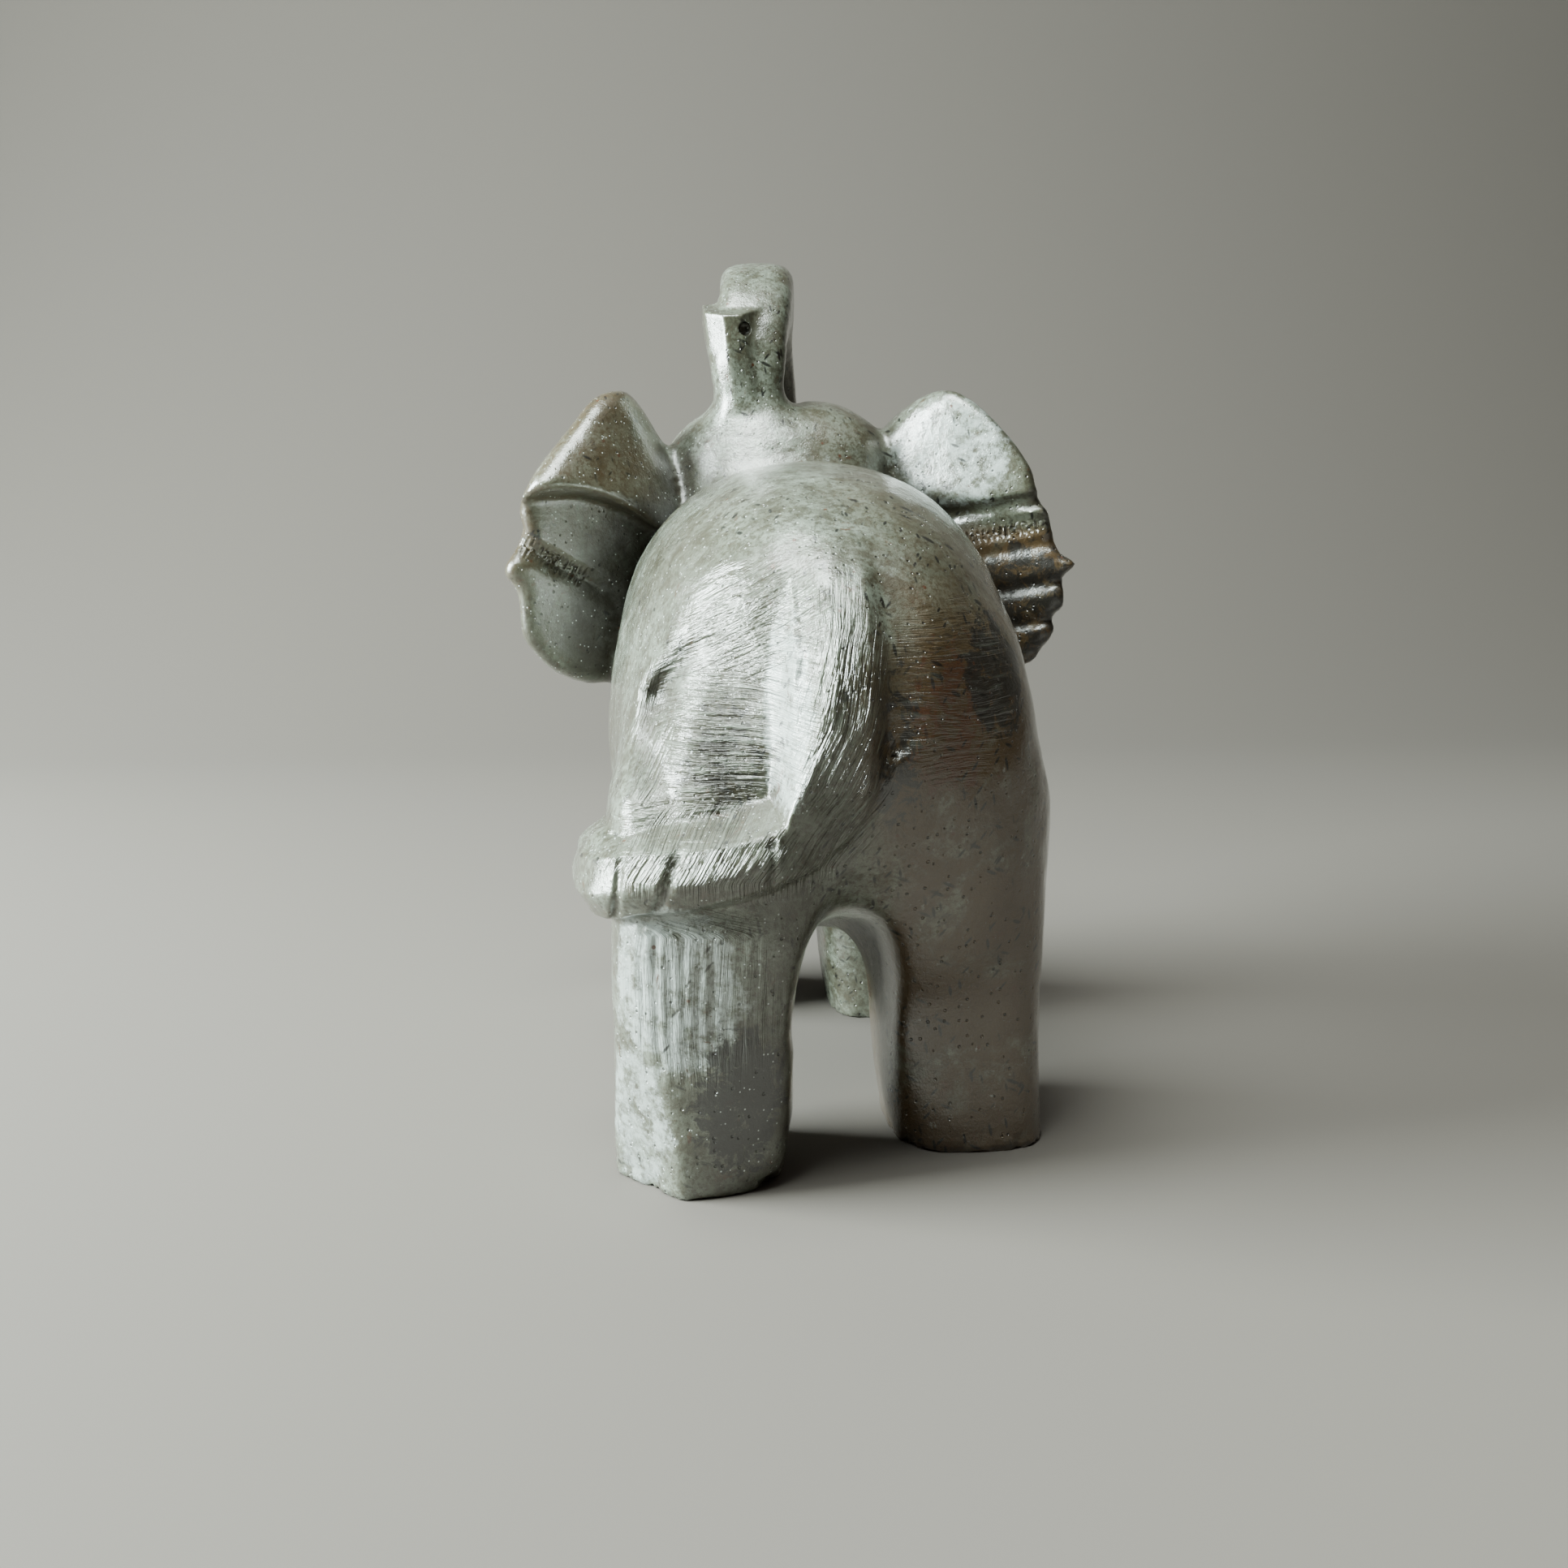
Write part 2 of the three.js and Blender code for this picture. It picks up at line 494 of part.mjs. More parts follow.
// Thins a closed mesh to the number of triangles kept. Each step closes the edge that moves the surface
// least, where the fit is the squared distance from the planes of the triangles that the edge stands for.
function thin({ vertices, triangles }, kept) {
  const sub = (a, b) => [a[0] - b[0], a[1] - b[1], a[2] - b[2]];
  const cross = (a, b) => [a[1] * b[2] - a[2] * b[1], a[2] * b[0] - a[0] * b[2], a[0] * b[1] - a[1] * b[0]];
  const dot = (a, b) => a[0] * b[0] + a[1] * b[1] + a[2] * b[2];
  const normal = (a, b, c) => cross(sub(b, a), sub(c, a));
  const around = vertices.map(() => new Set());
  const fits = vertices.map(() => new Float64Array(10));
  const stamps = new Int32Array(vertices.length);
  triangles.forEach((corners, index) => {
    const n = normal(...corners.map((v) => vertices[v]));
    const size = Math.hypot(...n) || 1e-12;
    const [a, b, c] = n.map((v) => v / size);
    const d = -dot([a, b, c], vertices[corners[0]]);
    const planeFit = [a * a, a * b, a * c, a * d, b * b, b * c, b * d, c * c, c * d, d * d];
    for (const v of corners) {
      around[v].add(index);
      fits[v] = fits[v].map((value, i) => value + planeFit[i] * size);
    }
  });
  const error = (q, [x, y, z]) => x * (q[0] * x + 2 * q[1] * y + 2 * q[2] * z + 2 * q[3])
    + y * (q[4] * y + 2 * q[5] * z + 2 * q[6]) + z * (q[7] * z + 2 * q[8]) + q[9];
  const best = (u, v) => {
    const q = fits[u].map((value, i) => value + fits[v][i]);
    const rows = [[q[0], q[1], q[2]], [q[1], q[4], q[5]], [q[2], q[5], q[7]]];
    const right = [-q[3], -q[6], -q[8]];
    const middle = vertices[u].map((value, i) => (value + vertices[v][i]) / 2);
    const det = dot(rows[0], cross(rows[1], rows[2]));
    const choices = [middle, vertices[u], vertices[v]];
    const length = Math.hypot(...sub(vertices[u], vertices[v]));
    if (Math.abs(det) > 1e-5 * (q[0] + q[4] + q[7]) ** 3) {
      // the rows are symmetric, so they serve as columns in the rule of determinants
      const at = [
        dot(right, cross(rows[1], rows[2])) / det,
        dot(rows[0], cross(right, rows[2])) / det,
        dot(rows[0], cross(rows[1], right)) / det,
      ];
      if (Math.hypot(...sub(at, middle)) < 2 * length) choices.unshift(at);
    }
    const costs = choices.map((at) => error(q, at));
    const i = costs.indexOf(Math.min(...costs));
    const cost = Math.max(costs[i], 0) + 1e-9 * length;
    return { u, v, at: choices[i], cost, stamp: stamps[u] + stamps[v] };
  };

  // Queue ordered by cost
  const queue = [];
  const push = (item) => {
    let i = queue.push(item) - 1;
    while (i > 0 && queue[(i - 1) >> 1].cost > item.cost) {
      queue[i] = queue[(i - 1) >> 1];
      i = (i - 1) >> 1;
    }
    queue[i] = item;
  };
  const pop = () => {
    const top = queue[0];
    const item = queue.pop();
    if (queue.length === 0) return top;
    let i = 0;
    for (;;) {
      let child = 2 * i + 1;
      if (child >= queue.length) break;
      if (child + 1 < queue.length && queue[child + 1].cost < queue[child].cost) child++;
      if (queue[child].cost >= item.cost) break;
      queue[i] = queue[child];
      i = child;
    }
    queue[i] = item;
    return top;
  };

  const neighbours = (v) => {
    const corners = [...around[v]].flatMap((index) => triangles[index]);
    return new Set(corners.filter((w) => w !== v));
  };
  const flips = (v, other, at) => [...around[v]].some((index) => {
    const corners = triangles[index];
    if (corners.includes(other)) return false;
    const before = normal(...corners.map((w) => vertices[w]));
    const after = normal(...corners.map((w) => (w === v ? at : vertices[w])));
    const size = Math.hypot(...after);
    return size < 1e-3 || dot(before, after) < 0.35 * Math.hypot(...before) * size;
  });
  for (let u = 0; u < vertices.length; u++) {
    const later = [...neighbours(u)].filter((v) => u < v);
    later.forEach((v) => push(best(u, v)));
  }
  let left = triangles.length;
  while (left > kept && queue.length > 0) {
    const { u, v, at, stamp } = pop();
    if (around[u].size === 0 || around[v].size === 0 || stamp !== stamps[u] + stamps[v]) continue;
    const ringU = neighbours(u);
    const ringV = neighbours(v);
    if (!ringU.has(v) || [...ringU].filter((w) => ringV.has(w)).length !== 2) continue;
    if (flips(u, v, at) || flips(v, u, at)) continue;
    vertices[u] = at;
    fits[u] = fits[u].map((value, i) => value + fits[v][i]);
    for (const index of around[v]) {
      const corners = triangles[index];
      if (corners.includes(u)) {
        corners.filter((w) => w !== v).forEach((w) => around[w].delete(index));
        left--;
      } else {
        corners[corners.indexOf(v)] = u;
        around[u].add(index);
      }
    }
    around[v].clear();
    stamps[u]++;
    for (const w of neighbours(u)) {
      stamps[w]++;
    }
    for (const w of neighbours(u)) {
      push(best(u, w));
      const others = [...neighbours(w)].filter((x) => x !== u);
      others.forEach((x) => push(best(w, x)));
    }
  }
  const used = new Set(around.flatMap((set) => [...set]));
  const number = new Map();
  const renumbered = [...used].map((index) => triangles[index].map((v) => {
    if (!number.has(v)) number.set(v, number.size);
    return number.get(v);
  }));
  return { vertices: [...number.keys()].map((v) => vertices[v]), triangles: renumbered };
}

const kernel = await Module();
kernel.setup();

function toSolid({ vertices, triangles }) {
  return new kernel.Manifold(new kernel.Mesh({
    numProp: 3,
    vertProperties: new Float32Array(vertices.flat()),
    triVerts: new Uint32Array(triangles.flat()),
  }));
}

// The feet are meshed a little too long, and the ground then cuts them off flat
const GROUND = { width: 200, depth: 20 };
const ground = new THREE.BoxGeometry(GROUND.width, GROUND.width, GROUND.depth);
ground.translate(0, 0, -GROUND.depth / 2);
ground.deleteAttribute('normal');
ground.deleteAttribute('uv');
const block = mergeVertices(ground);
const belowGround = new kernel.Manifold(new kernel.Mesh({
  numProp: 3,
  vertProperties: block.attributes.position.array,
  triVerts: new Uint32Array(block.index.array),
}));
const thinned = thin(meshField(elephant, BOUNDS, CELL), KEPT_TRIANGLES);
const carved = toSolid(thinned).subtract(belowGround).getMesh();

const geometry = new THREE.BufferGeometry();
geometry.setAttribute('position', new THREE.BufferAttribute(new Float32Array(carved.vertProperties), 3));
geometry.setIndex([...carved.triVerts]);
geometry.computeBoundingBox();
const middle = geometry.boundingBox.getCenter(new THREE.Vector3());
geometry.translate(-middle.x, -middle.y, 0);
geometry.computeVertexNormals();

const stone = new THREE.MeshStandardMaterial({ color: 0x96988c, roughness: 0.35, metalness: 0 });
const solid = new THREE.Mesh(geometry, stone);
solid.name = 'elephant';
const carving = new THREE.Group();
carving.name = 'carving';
carving.add(solid);

export default carving;
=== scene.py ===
"""A small elephant carved from one block of jasper, seen from behind, on a plain pale floor.

The stone is one closed surface. Each form of the carving is a field: a number for each place, below nought
inside the stone and close to the distance from its surface, in millimetres. The forms are joined and cut with
soft seams, the surface is drawn where the whole field is nought, and the marks of the carver's files are laid
on it last.

The carver's frame has its origin on the ground between the hind feet. +Y is the way the elephant faces, +X is
the right-hand side of someone who stands behind it, and +Z is up.
"""

import logging
import math
from collections.abc import Callable
from dataclasses import dataclass, field, replace
from enum import Enum

import bpy
import numpy as np
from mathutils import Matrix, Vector

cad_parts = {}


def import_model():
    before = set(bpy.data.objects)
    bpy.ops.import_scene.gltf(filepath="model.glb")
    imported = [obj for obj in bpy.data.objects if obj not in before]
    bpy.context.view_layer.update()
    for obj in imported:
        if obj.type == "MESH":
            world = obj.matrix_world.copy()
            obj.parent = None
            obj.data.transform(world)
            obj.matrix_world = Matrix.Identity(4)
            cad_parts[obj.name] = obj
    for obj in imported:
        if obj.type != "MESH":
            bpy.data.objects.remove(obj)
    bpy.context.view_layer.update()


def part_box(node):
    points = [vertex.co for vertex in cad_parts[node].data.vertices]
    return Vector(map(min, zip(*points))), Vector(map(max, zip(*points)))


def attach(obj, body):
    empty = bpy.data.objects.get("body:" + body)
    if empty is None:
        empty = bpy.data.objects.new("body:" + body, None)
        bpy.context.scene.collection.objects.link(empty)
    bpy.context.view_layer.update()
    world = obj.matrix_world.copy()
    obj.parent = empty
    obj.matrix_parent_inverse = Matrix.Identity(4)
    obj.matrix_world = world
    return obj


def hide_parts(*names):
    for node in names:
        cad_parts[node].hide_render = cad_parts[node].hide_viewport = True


Array = np.ndarray
Triple = tuple[float, float, float]
Pair = tuple[float, float]
Colour = tuple[float, float, float, float]
Form = Callable[[Array], Array]
Socket = bpy.types.NodeSocket
Value = Socket | float | tuple

MM = 0.001
NODE = "elephant"
ROW_SHIFT: Triple = (-0.17, -26.95, 0.0)

LATTICE_FACTORS = (73856093, 19349663, 83492791)
SEED_FACTOR = 2654435761
SCRAMBLES = ((13, 1274126177), (15, 2246822519))
KEY_MASK = 0xFFFFFFFF
HALF_RANGE = 2**31
FAR = 1e9
TINY = 1e-6

log = logging.getLogger("jasper elephant")


class Side(Enum):
    """Which side of the elephant a form is on, as the sign of X."""

    LEFT = -1
    RIGHT = 1


# Numbers and seams


def join(a: Array, b: Array, seam: float) -> Array:
    """Union of two fields: the lesser of the two, with a seam rounded over a width in mm.

    Args:
        a: The first field's values.
        b: The second field's values.
        seam: Width over which the two melt together.

    Returns:
        The joined field's values.
    """
    share = np.clip(0.5 + 0.5 * (b - a) / seam, 0, 1)
    return b + (a - b) * share - seam * share * (1 - share)


def meet(a: Array, b: Array, seam: float) -> Array:
    """What two fields have in common, with a rounded seam."""
    return -join(-a, -b, seam)


def carve(a: Array, tool: Array, seam: float) -> Array:
    """The first field with the tool's form cut out of it, with a rounded seam."""
    return meet(a, -tool, seam)


def ramp(values: Array, low: float | Array, high: float | Array) -> Array:
    """Smooth rise from 0 at low to 1 at high: t squared times (3 - 2t)."""
    t = np.clip((values - low) / (high - low), 0, 1)
    return t * t * (3 - 2 * t)


def through(values: Array, places: list[Array], heights: list[Array], softness: float = 0.6) -> Array:
    """Runs from knot to knot, level beyond both ends.

    Args:
        values: Where the line is read.
        places: Each knot's place, as one number or one for each value.
        heights: The line's height at each knot.
        softness: Each run is straight at 0, and eases in and out of its knots at 1.

    Returns:
        The height at each value: the first height, plus each run's rise times how far along it the
        value lies.
    """
    height = heights[0] + 0 * values
    for here, there, low, high in zip(places, places[1:], heights, heights[1:]):
        along = np.clip((values - here) / (there - here), 0, 1)
        eased = along * along * (3 - 2 * along)
        height = height + (high - low) * (along + softness * (eased - along))
    return height


def cloud(points: Array, grain: float, seed: int) -> Array:
    """Soft unevenness between -1 and 1: scrambled numbers on a lattice, smoothly mixed between its corners.

    Args:
        points: Places in mm, one row each.
        grain: Spacing of the lattice in mm.
        seed: Picks one of many such patterns.

    Returns:
        One value for each point.
    """
    scaled = points / grain
    cell = np.floor(scaled).astype(np.int64)
    part = scaled - cell
    part = part * part * (3 - 2 * part)
    total = np.zeros(len(points))
    for corner in range(8):
        offset = np.array([corner & 1, corner >> 1 & 1, corner >> 2 & 1])
        key = (cell + offset) @ np.array(LATTICE_FACTORS) + seed * SEED_FACTOR
        for shift, factor in SCRAMBLES:
            key = (key ^ (key >> shift)) * factor & KEY_MASK
        weight = np.where(offset, part, 1 - part).prod(axis=1)
        total += weight * (key / HALF_RANGE - 1)
    return total


def smooth_rows(rows: list[tuple[float, ...]], steps: int, closed: bool = False) -> Array:
    """Catmull-Rom line through rows of numbers.

    Args:
        rows: The rows that the line passes through.
        steps: Number of points from one row to the next.
        closed: Whether the line returns to its first row.

    Returns:
        The line's rows.
    """
    knots = np.array(rows, float)
    if closed:
        knots = np.vstack([knots[-1:], knots, knots[:2]])
    else:
        knots = np.vstack([2 * knots[0] - knots[1], knots, 2 * knots[-1] - knots[-2]])
    t = np.linspace(0, 1, steps, endpoint=False)[:, None]
    runs = [
        0.5 * (2 * b + (c - a) * t + (2 * a - 5 * b + 4 * c - d) * t**2 + (3 * b - a - 3 * c + d) * t**3)
        for a, b, c, d in zip(knots, knots[1:], knots[2:], knots[3:])
    ]
    line = np.vstack(runs)
    return line if closed else np.vstack([line, knots[-2:-1]])


# Forms that the carving is made of


@dataclass(frozen=True)
class Lump:
    """Rounded lump: an ellipsoid at power 2, squarer above it. Pitch tips its front up, in degrees."""

    centre: Triple
    radii: Triple
    power: float = 2.0
    pitch: float = 0.0

    def depth(self, p: Array) -> Array:
        """Field of the lump: with F the power mean of |place / radius|, (F - 1) over the slope of F.

        Args:
            p: Points in mm, one row each.

        Returns:
            The field's value at each point.
        """
        tip = math.radians(self.pitch)
        turn = np.array([[1, 0, 0], [0, math.cos(tip), -math.sin(tip)], [0, math.sin(tip), math.cos(tip)]])
        radii = np.array(self.radii)
        u = np.abs((p - self.centre) @ turn) / radii + TINY
        grown = u ** (self.power - 1)
        mean = (grown * u).sum(axis=1) ** (1 / self.power)
        slope = np.sqrt(((grown / radii) ** 2).sum(axis=1)) * mean ** (1 - self.power)
        return (mean - 1) / slope


@dataclass(frozen=True)
class Plane:
    """Flat cut through a point. The field is the height over the plane."""

    point: Triple
    normal: Triple

    def depth(self, p: Array) -> Array:
        """Distance of each point from the plane, above nought on the side that its normal points to."""
        normal = np.array(self.normal) / np.linalg.norm(self.normal)
        return (p - self.point) @ normal


def rounded_section(across: Array, along: Array, half_x: Array, half_y: Array, power: float) -> Array:
    """Field of a rounded rectangle about nought: (F - 1) over the slope of F.

    F is the power mean of the place's ratios to the half sizes.

    Args:
        across: Place across the rectangle.
        along: Place along it.
        half_x: Half its width.
        half_y: Half its length.
        power: An ellipse at 2, squarer above it.

    Returns:
        The field's value at each place.
    """
    ux = np.abs(across) / half_x + TINY
    uy = np.abs(along) / half_y + TINY
    mean = (ux**power + uy**power) ** (1 / power)
    slope = np.hypot(ux ** (power - 1) / half_x, uy ** (power - 1) / half_y) * mean ** (1 - power)
    return (mean - 1) / slope


def mirrored(place: Triple, side: Side) -> Triple:
    """A place given for the right, on either side."""
    return (side.value * place[0], place[1], place[2])


def near(p: Array, low: Triple, high: Triple, form: Form, reach: float = 6.0) -> Array:
    """Works a form out only near its box. Farther off than any seam is wide, the distance to the box will do.

    Args:
        p: Points in mm.
        low: The box's lowest corner.
        high: The box's highest corner.
        form: Gives the form's field at an array of points.
        reach: How far outside the box the form is still worked out.

    Returns:
        The field's value at each point.
    """
    away = np.linalg.norm(np.maximum(np.maximum(np.array(low) - p, p - np.array(high)), 0), axis=1)
    close = away < reach
    if close.any():
        away[close] = form(p[close])
    return away


@dataclass(frozen=True)
class Body:
    """The barrel of the body, with a haunch over each hind leg and a shoulder over each front one."""

    barrel: Lump = Lump((0, 21, 38), (18.7, 36, 22), 2.25)
    belly: Lump = Lump((0, 22, 31), (17.8, 31, 15.5), 2.5)
    haunches: tuple[Lump, Lump] = (
        Lump((-9.2, -1.5, 28), (8.6, 12.8, 15), 2.5),
        Lump((9.0, 3, 30), (8.9, 13, 17.5), 2.4),
    )
    shoulder: Lump = Lump((8.8, 41, 31), (9.8, 11, 17), 2.3)
    belly_seam: float = 5.0
    seam: float = 4.0

    def depth(self, p: Array) -> Array:
        """Barrel and belly joined by a wide seam, then the haunches and shoulders by a narrower one.

        Args:
            p: Points in mm.

        Returns:
            The field's value at each point.
        """
        form = join(self.barrel.depth(p), self.belly.depth(p), self.belly_seam)
        left, right = self.haunches
        limbs = join(left.depth(p), right.depth(p), self.seam)
        for side in Side:
            shoulder = replace(self.shoulder, centre=mirrored(self.shoulder.centre, side))
            limbs = join(limbs, shoulder.depth(p), self.seam)
        return join(form, limbs, self.seam)


@dataclass(frozen=True)
class Leg:
    """One stout leg. Foot and knee each hold the centre and the half sizes, across and along."""

    foot: tuple[float, float, float, float]
    knee: tuple[float, float, float, float]
    cuts: tuple[tuple[Plane, float], ...] = ()
    knee_height: float = 16.0
    top: float = 34.0
    top_seam: float = 6.0
    power: float = 3.2

    def depth(self, p: Array) -> Array:
        """Upright column whose section passes from the foot's to the knee's by t(2 - t), t along the height.

        Args:
            p: Points in mm.

        Returns:
            The field's value at each point.
        """
        t = np.clip(p[:, 2] / self.knee_height, 0, 1)
        rows = [low + (high - low) * t * (2 - t) for low, high in zip(self.foot, self.knee)]
        form = rounded_section(p[:, 0] - rows[0], p[:, 1] - rows[1], rows[2], rows[3], self.power)
        form = meet(form, p[:, 2] - self.top, self.top_seam)
        for cut, seam in self.cuts:
            form = meet(form, cut.depth(p), seam)
        return form


@dataclass(frozen=True)
class Legs:
    """The four legs in mid stride, the left hind one back, and the gap between the hind ones."""

    shapes: tuple[Leg, ...] = (
        Leg(
            (-12.0, -5.8, 7.1, 8.2),
            (-11.3, -5.0, 7.8, 8.9),
            (
                (Plane((-14.6, -13.2, 4), (-0.74, -0.62, -0.16)), 0.8),
                (Plane((-10, -13.5, 4), (0.25, -0.94, -0.2)), 1.2),
                (Plane((-6.2, -12.5, 2), (0.62, -0.5, -0.6)), 1.0),
            ),
        ),
        Leg((12.4, 3.4, 6.9, 8.9), (11.2, 3.8, 7.8, 9.4)),
        Leg((-11.4, 45.0, 6.6, 7.4), (-10.9, 44.0, 7.6, 8.4)),
        Leg((11.4, 40.5, 6.6, 7.4), (10.9, 40.5, 7.6, 8.4)),
    )
    gap: Lump = Lump((0.4, -4, 12), (3.9, 26, 8.6), 2.5, -14)
    seam: float = 1.0
    outside: float = 50.0

    def depth(self, p: Array) -> Array:
        """All four legs, joined where they nearly touch.

        Args:
            p: Points in mm.

        Returns:
            The field's value at each point.
        """
        form = np.full(len(p), self.outside)
        for leg in self.shapes:
            form = join(form, leg.depth(p), self.seam)
        return form


@dataclass(frozen=True)
class RumpRow:
    """One height of the rump, from the hollow's rim across the tail to the groove on its right."""

    z: float
    across: tuple[float, ...]
    proud: tuple[float, ...]


@dataclass(frozen=True)
class Notch:
    """V-shaped notch down the tuft."""

    x: float
    lean: float
    depth: float
    half: float


@dataclass(frozen=True)
class Rump:
    """Relief of the rump: the tail as a ridge, the hollow on its left, and the notched tuft."""

    rows: tuple[RumpRow, ...] = (
        RumpRow(25.0, (-18.4, -14.0, -6.5, -6.1, 0.5, 2.4, 5.0), (0, -0.7, -1.4, 2.2, 1, 0, 0)),
        RumpRow(30.0, (-18.4, -14.0, -6.5, -5.8, 0.6, 2.6, 5.5), (0, -1.4, -2.4, 2.2, 1.3, -0.3, 0)),
        RumpRow(33.0, (-18.2, -14.2, -6.6, -4.9, 0.8, 2.8, 6.0), (0, -1.7, -2.7, 2.1, 1.4, -0.5, 0)),
        RumpRow(36.5, (-17.6, -14.3, -6.6, -3.4, 0.9, 2.9, 6.5), (0, -1.9, -2.8, 2, 1.4, -0.8, 0)),
        RumpRow(40.0, (-16.8, -14.2, -6.6, -2.5, 0.9, 2.9, 7.0), (0, -1.8, -2.6, 1.9, 1.3, -0.9, 0)),
        RumpRow(43.0, (-15.2, -12.6, -6.4, -1.9, 0.9, 2.9, 7.0), (0, -1.2, -2.1, 1.7, 1.2, -0.8, 0)),
        RumpRow(46.0, (-12.8, -9.8, -6.2, -1.8, 0.9, 2.8, 6.5), (0, -0.6, -1.3, 1.4, 1, -0.6, 0)),
        RumpRow(48.5, (-10.6, -8.2, -5.2, -1.9, 0.9, 2.6, 6.0), (0, -0.2, -0.5, 0.8, 0.7, -0.3, 0)),
        RumpRow(51.0, (-9.0, -6.8, -4.2, -1.4, 0.8, 2.4, 5.0), (0, 0, 0, 0.4, 0.3, 0, 0)),
        RumpRow(54.0, (-8.5, -6.5, -4.5, -0.6, 0.6, 2.0, 4.0), (0, 0, 0, 0, 0, 0, 0)),
    )
    tuft_x: tuple[float, ...] = (-22, -19.2, -16.6, -13.6, -9.7, -6.5, -5, -2.6, -0.2, 1.8, 3.2, 7.5)
    tuft_top: tuple[float, ...] = (29, 29.9, 30.5, 30.7, 31.2, 32, 32.5, 33, 33, 33, 33, 33)
    tuft_bottom: tuple[float, ...] = (22.6, 23.1, 24, 24.4, 25.3, 26.2, 26.5, 27.3, 29.4, 32.6, 36, 38)
    tuft_proud: tuple[float, ...] = (0, 1.9, 2.9, 2.3, -2.5)
    notches: tuple[Notch, ...] = (
        Notch(-6.7, 0.02, 0.4, 0.35),
        Notch(-14.6, 0.35, 0.6, 0.6),
        Notch(-18.3, 0.1, 0.4, 0.4),
    )
    tuft_end: Lump = Lump((-18.2, -7.6, 26.2), (3.5, 4.4, 3.8), 2.3)
    ledge_foot: Triple = (-0.7, 0.5, 2.6)
    ledge_head: Pair = (-1.4, 0.7)
    tuft_start: Pair = (4.4, 6.2)
    notch_height: float = 27.0
    flank_fade: Pair = (-6.0, 0.0)

    def relief(self, p: Array) -> Array:
        """How far the surface stands proud of the plain body, in mm.

        Across each height it runs through the row's knots, and down the tuft through those of its ledge.
        Each notch takes away its depth times (1 - distance / half width).

        Args:
            p: Points in mm.

        Returns:
            The relief at each point, which fades out along the flanks.
        """
        x, y, z = p.T
        rows = smooth_rows([(row.z, *row.across, *row.proud) for row in self.rows], 4).T
        knots = [np.interp(z, rows[0], column) for column in rows[1:]]
        places, proud = knots[: len(knots) // 2], knots[len(knots) // 2 :]
        top = np.interp(x, self.tuft_x, self.tuft_top)
        bottom = np.interp(x, self.tuft_x, self.tuft_bottom)
        relief = through(x, places, proud) * ramp(z, bottom - 0.6, bottom + 0.9)
        ledge = [bottom + over for over in self.ledge_foot] + [top + over for over in self.ledge_head]
        tuft = through(z, ledge, list(self.tuft_proud)) * ramp(-x, *self.tuft_start)
        relief = np.where(-x > self.tuft_start[0], np.maximum(tuft, relief), relief)
        within = ramp(z, bottom - 0.5, bottom + 0.8) * ramp(-z, 0.2 - top, 1.6 - top)
        for notch in self.notches:
            away = np.abs(x - notch.x - notch.lean * (z - self.notch_height))
            relief = relief - notch.depth * np.clip(1 - away / notch.half, 0, 1) * within
        return relief * ramp(-y, *self.flank_fade)


@dataclass(frozen=True)
class Head:
    """Skull with a shallow groove along the crown, cheeks, lower jaw and two small plain eyes."""

    skull: Lump = Lump((0, 49.5, 56.5), (14, 12.5, 12), 2.4)
    cheeks: Lump = Lump((0, 53, 48), (11, 13, 13), 2.2)
    jaw: Lump = Lump((0, 61.5, 39), (4.4, 7.5, 4), 2.2, 18)
    crown_groove: Lump = Lump((0, 49, 70), (2, 15, 2))
    cheek_seam: float = 4.0
    jaw_seam: float = 3.0
    groove_seam: float = 2.5
    socket: Lump = Lump((12.4, 58.9, 55.2), (1.6, 2.4, 1.7))
    ball: Lump = Lump((11.2, 58.5, 55.2), (1.2, 1.5, 1.15))
    socket_seam: float = 0.6
    ball_seam: float = 0.2
    low: Triple = (-15, 36, 34)
    high: Triple = (15, 71, 70)

    def depth(self, p: Array) -> Array:
        """Field of the head without its eyes."""
        return near(p, self.low, self.high, self._close)

    def _close(self, p: Array) -> Array:
        """Skull, cheeks and jaw joined, with the groove cut.

        Args:
            p: Points in mm.

        Returns:
            The field's value at each point.
        """
        form = join(self.skull.depth(p), self.cheeks.depth(p), self.cheek_seam)
        form = join(form, self.jaw.depth(p), self.jaw_seam)
        return carve(form, self.crown_groove.depth(p), self.groove_seam)

    def with_eyes(self, form: Array, p: Array) -> Array:
        """Cuts each eye's socket into a form and sets its ball there.

        Args:
            form: The form's field at the points.
            p: Points in mm.

        Returns:
            The new form's field.
        """
        for side in Side:
            socket = replace(self.socket, centre=mirrored(self.socket.centre, side))
            ball = replace(self.ball, centre=mirrored(self.ball.centre, side))
            form = join(carve(form, socket.depth(p), self.socket_seam), ball.depth(p), self.ball_seam)
        return form


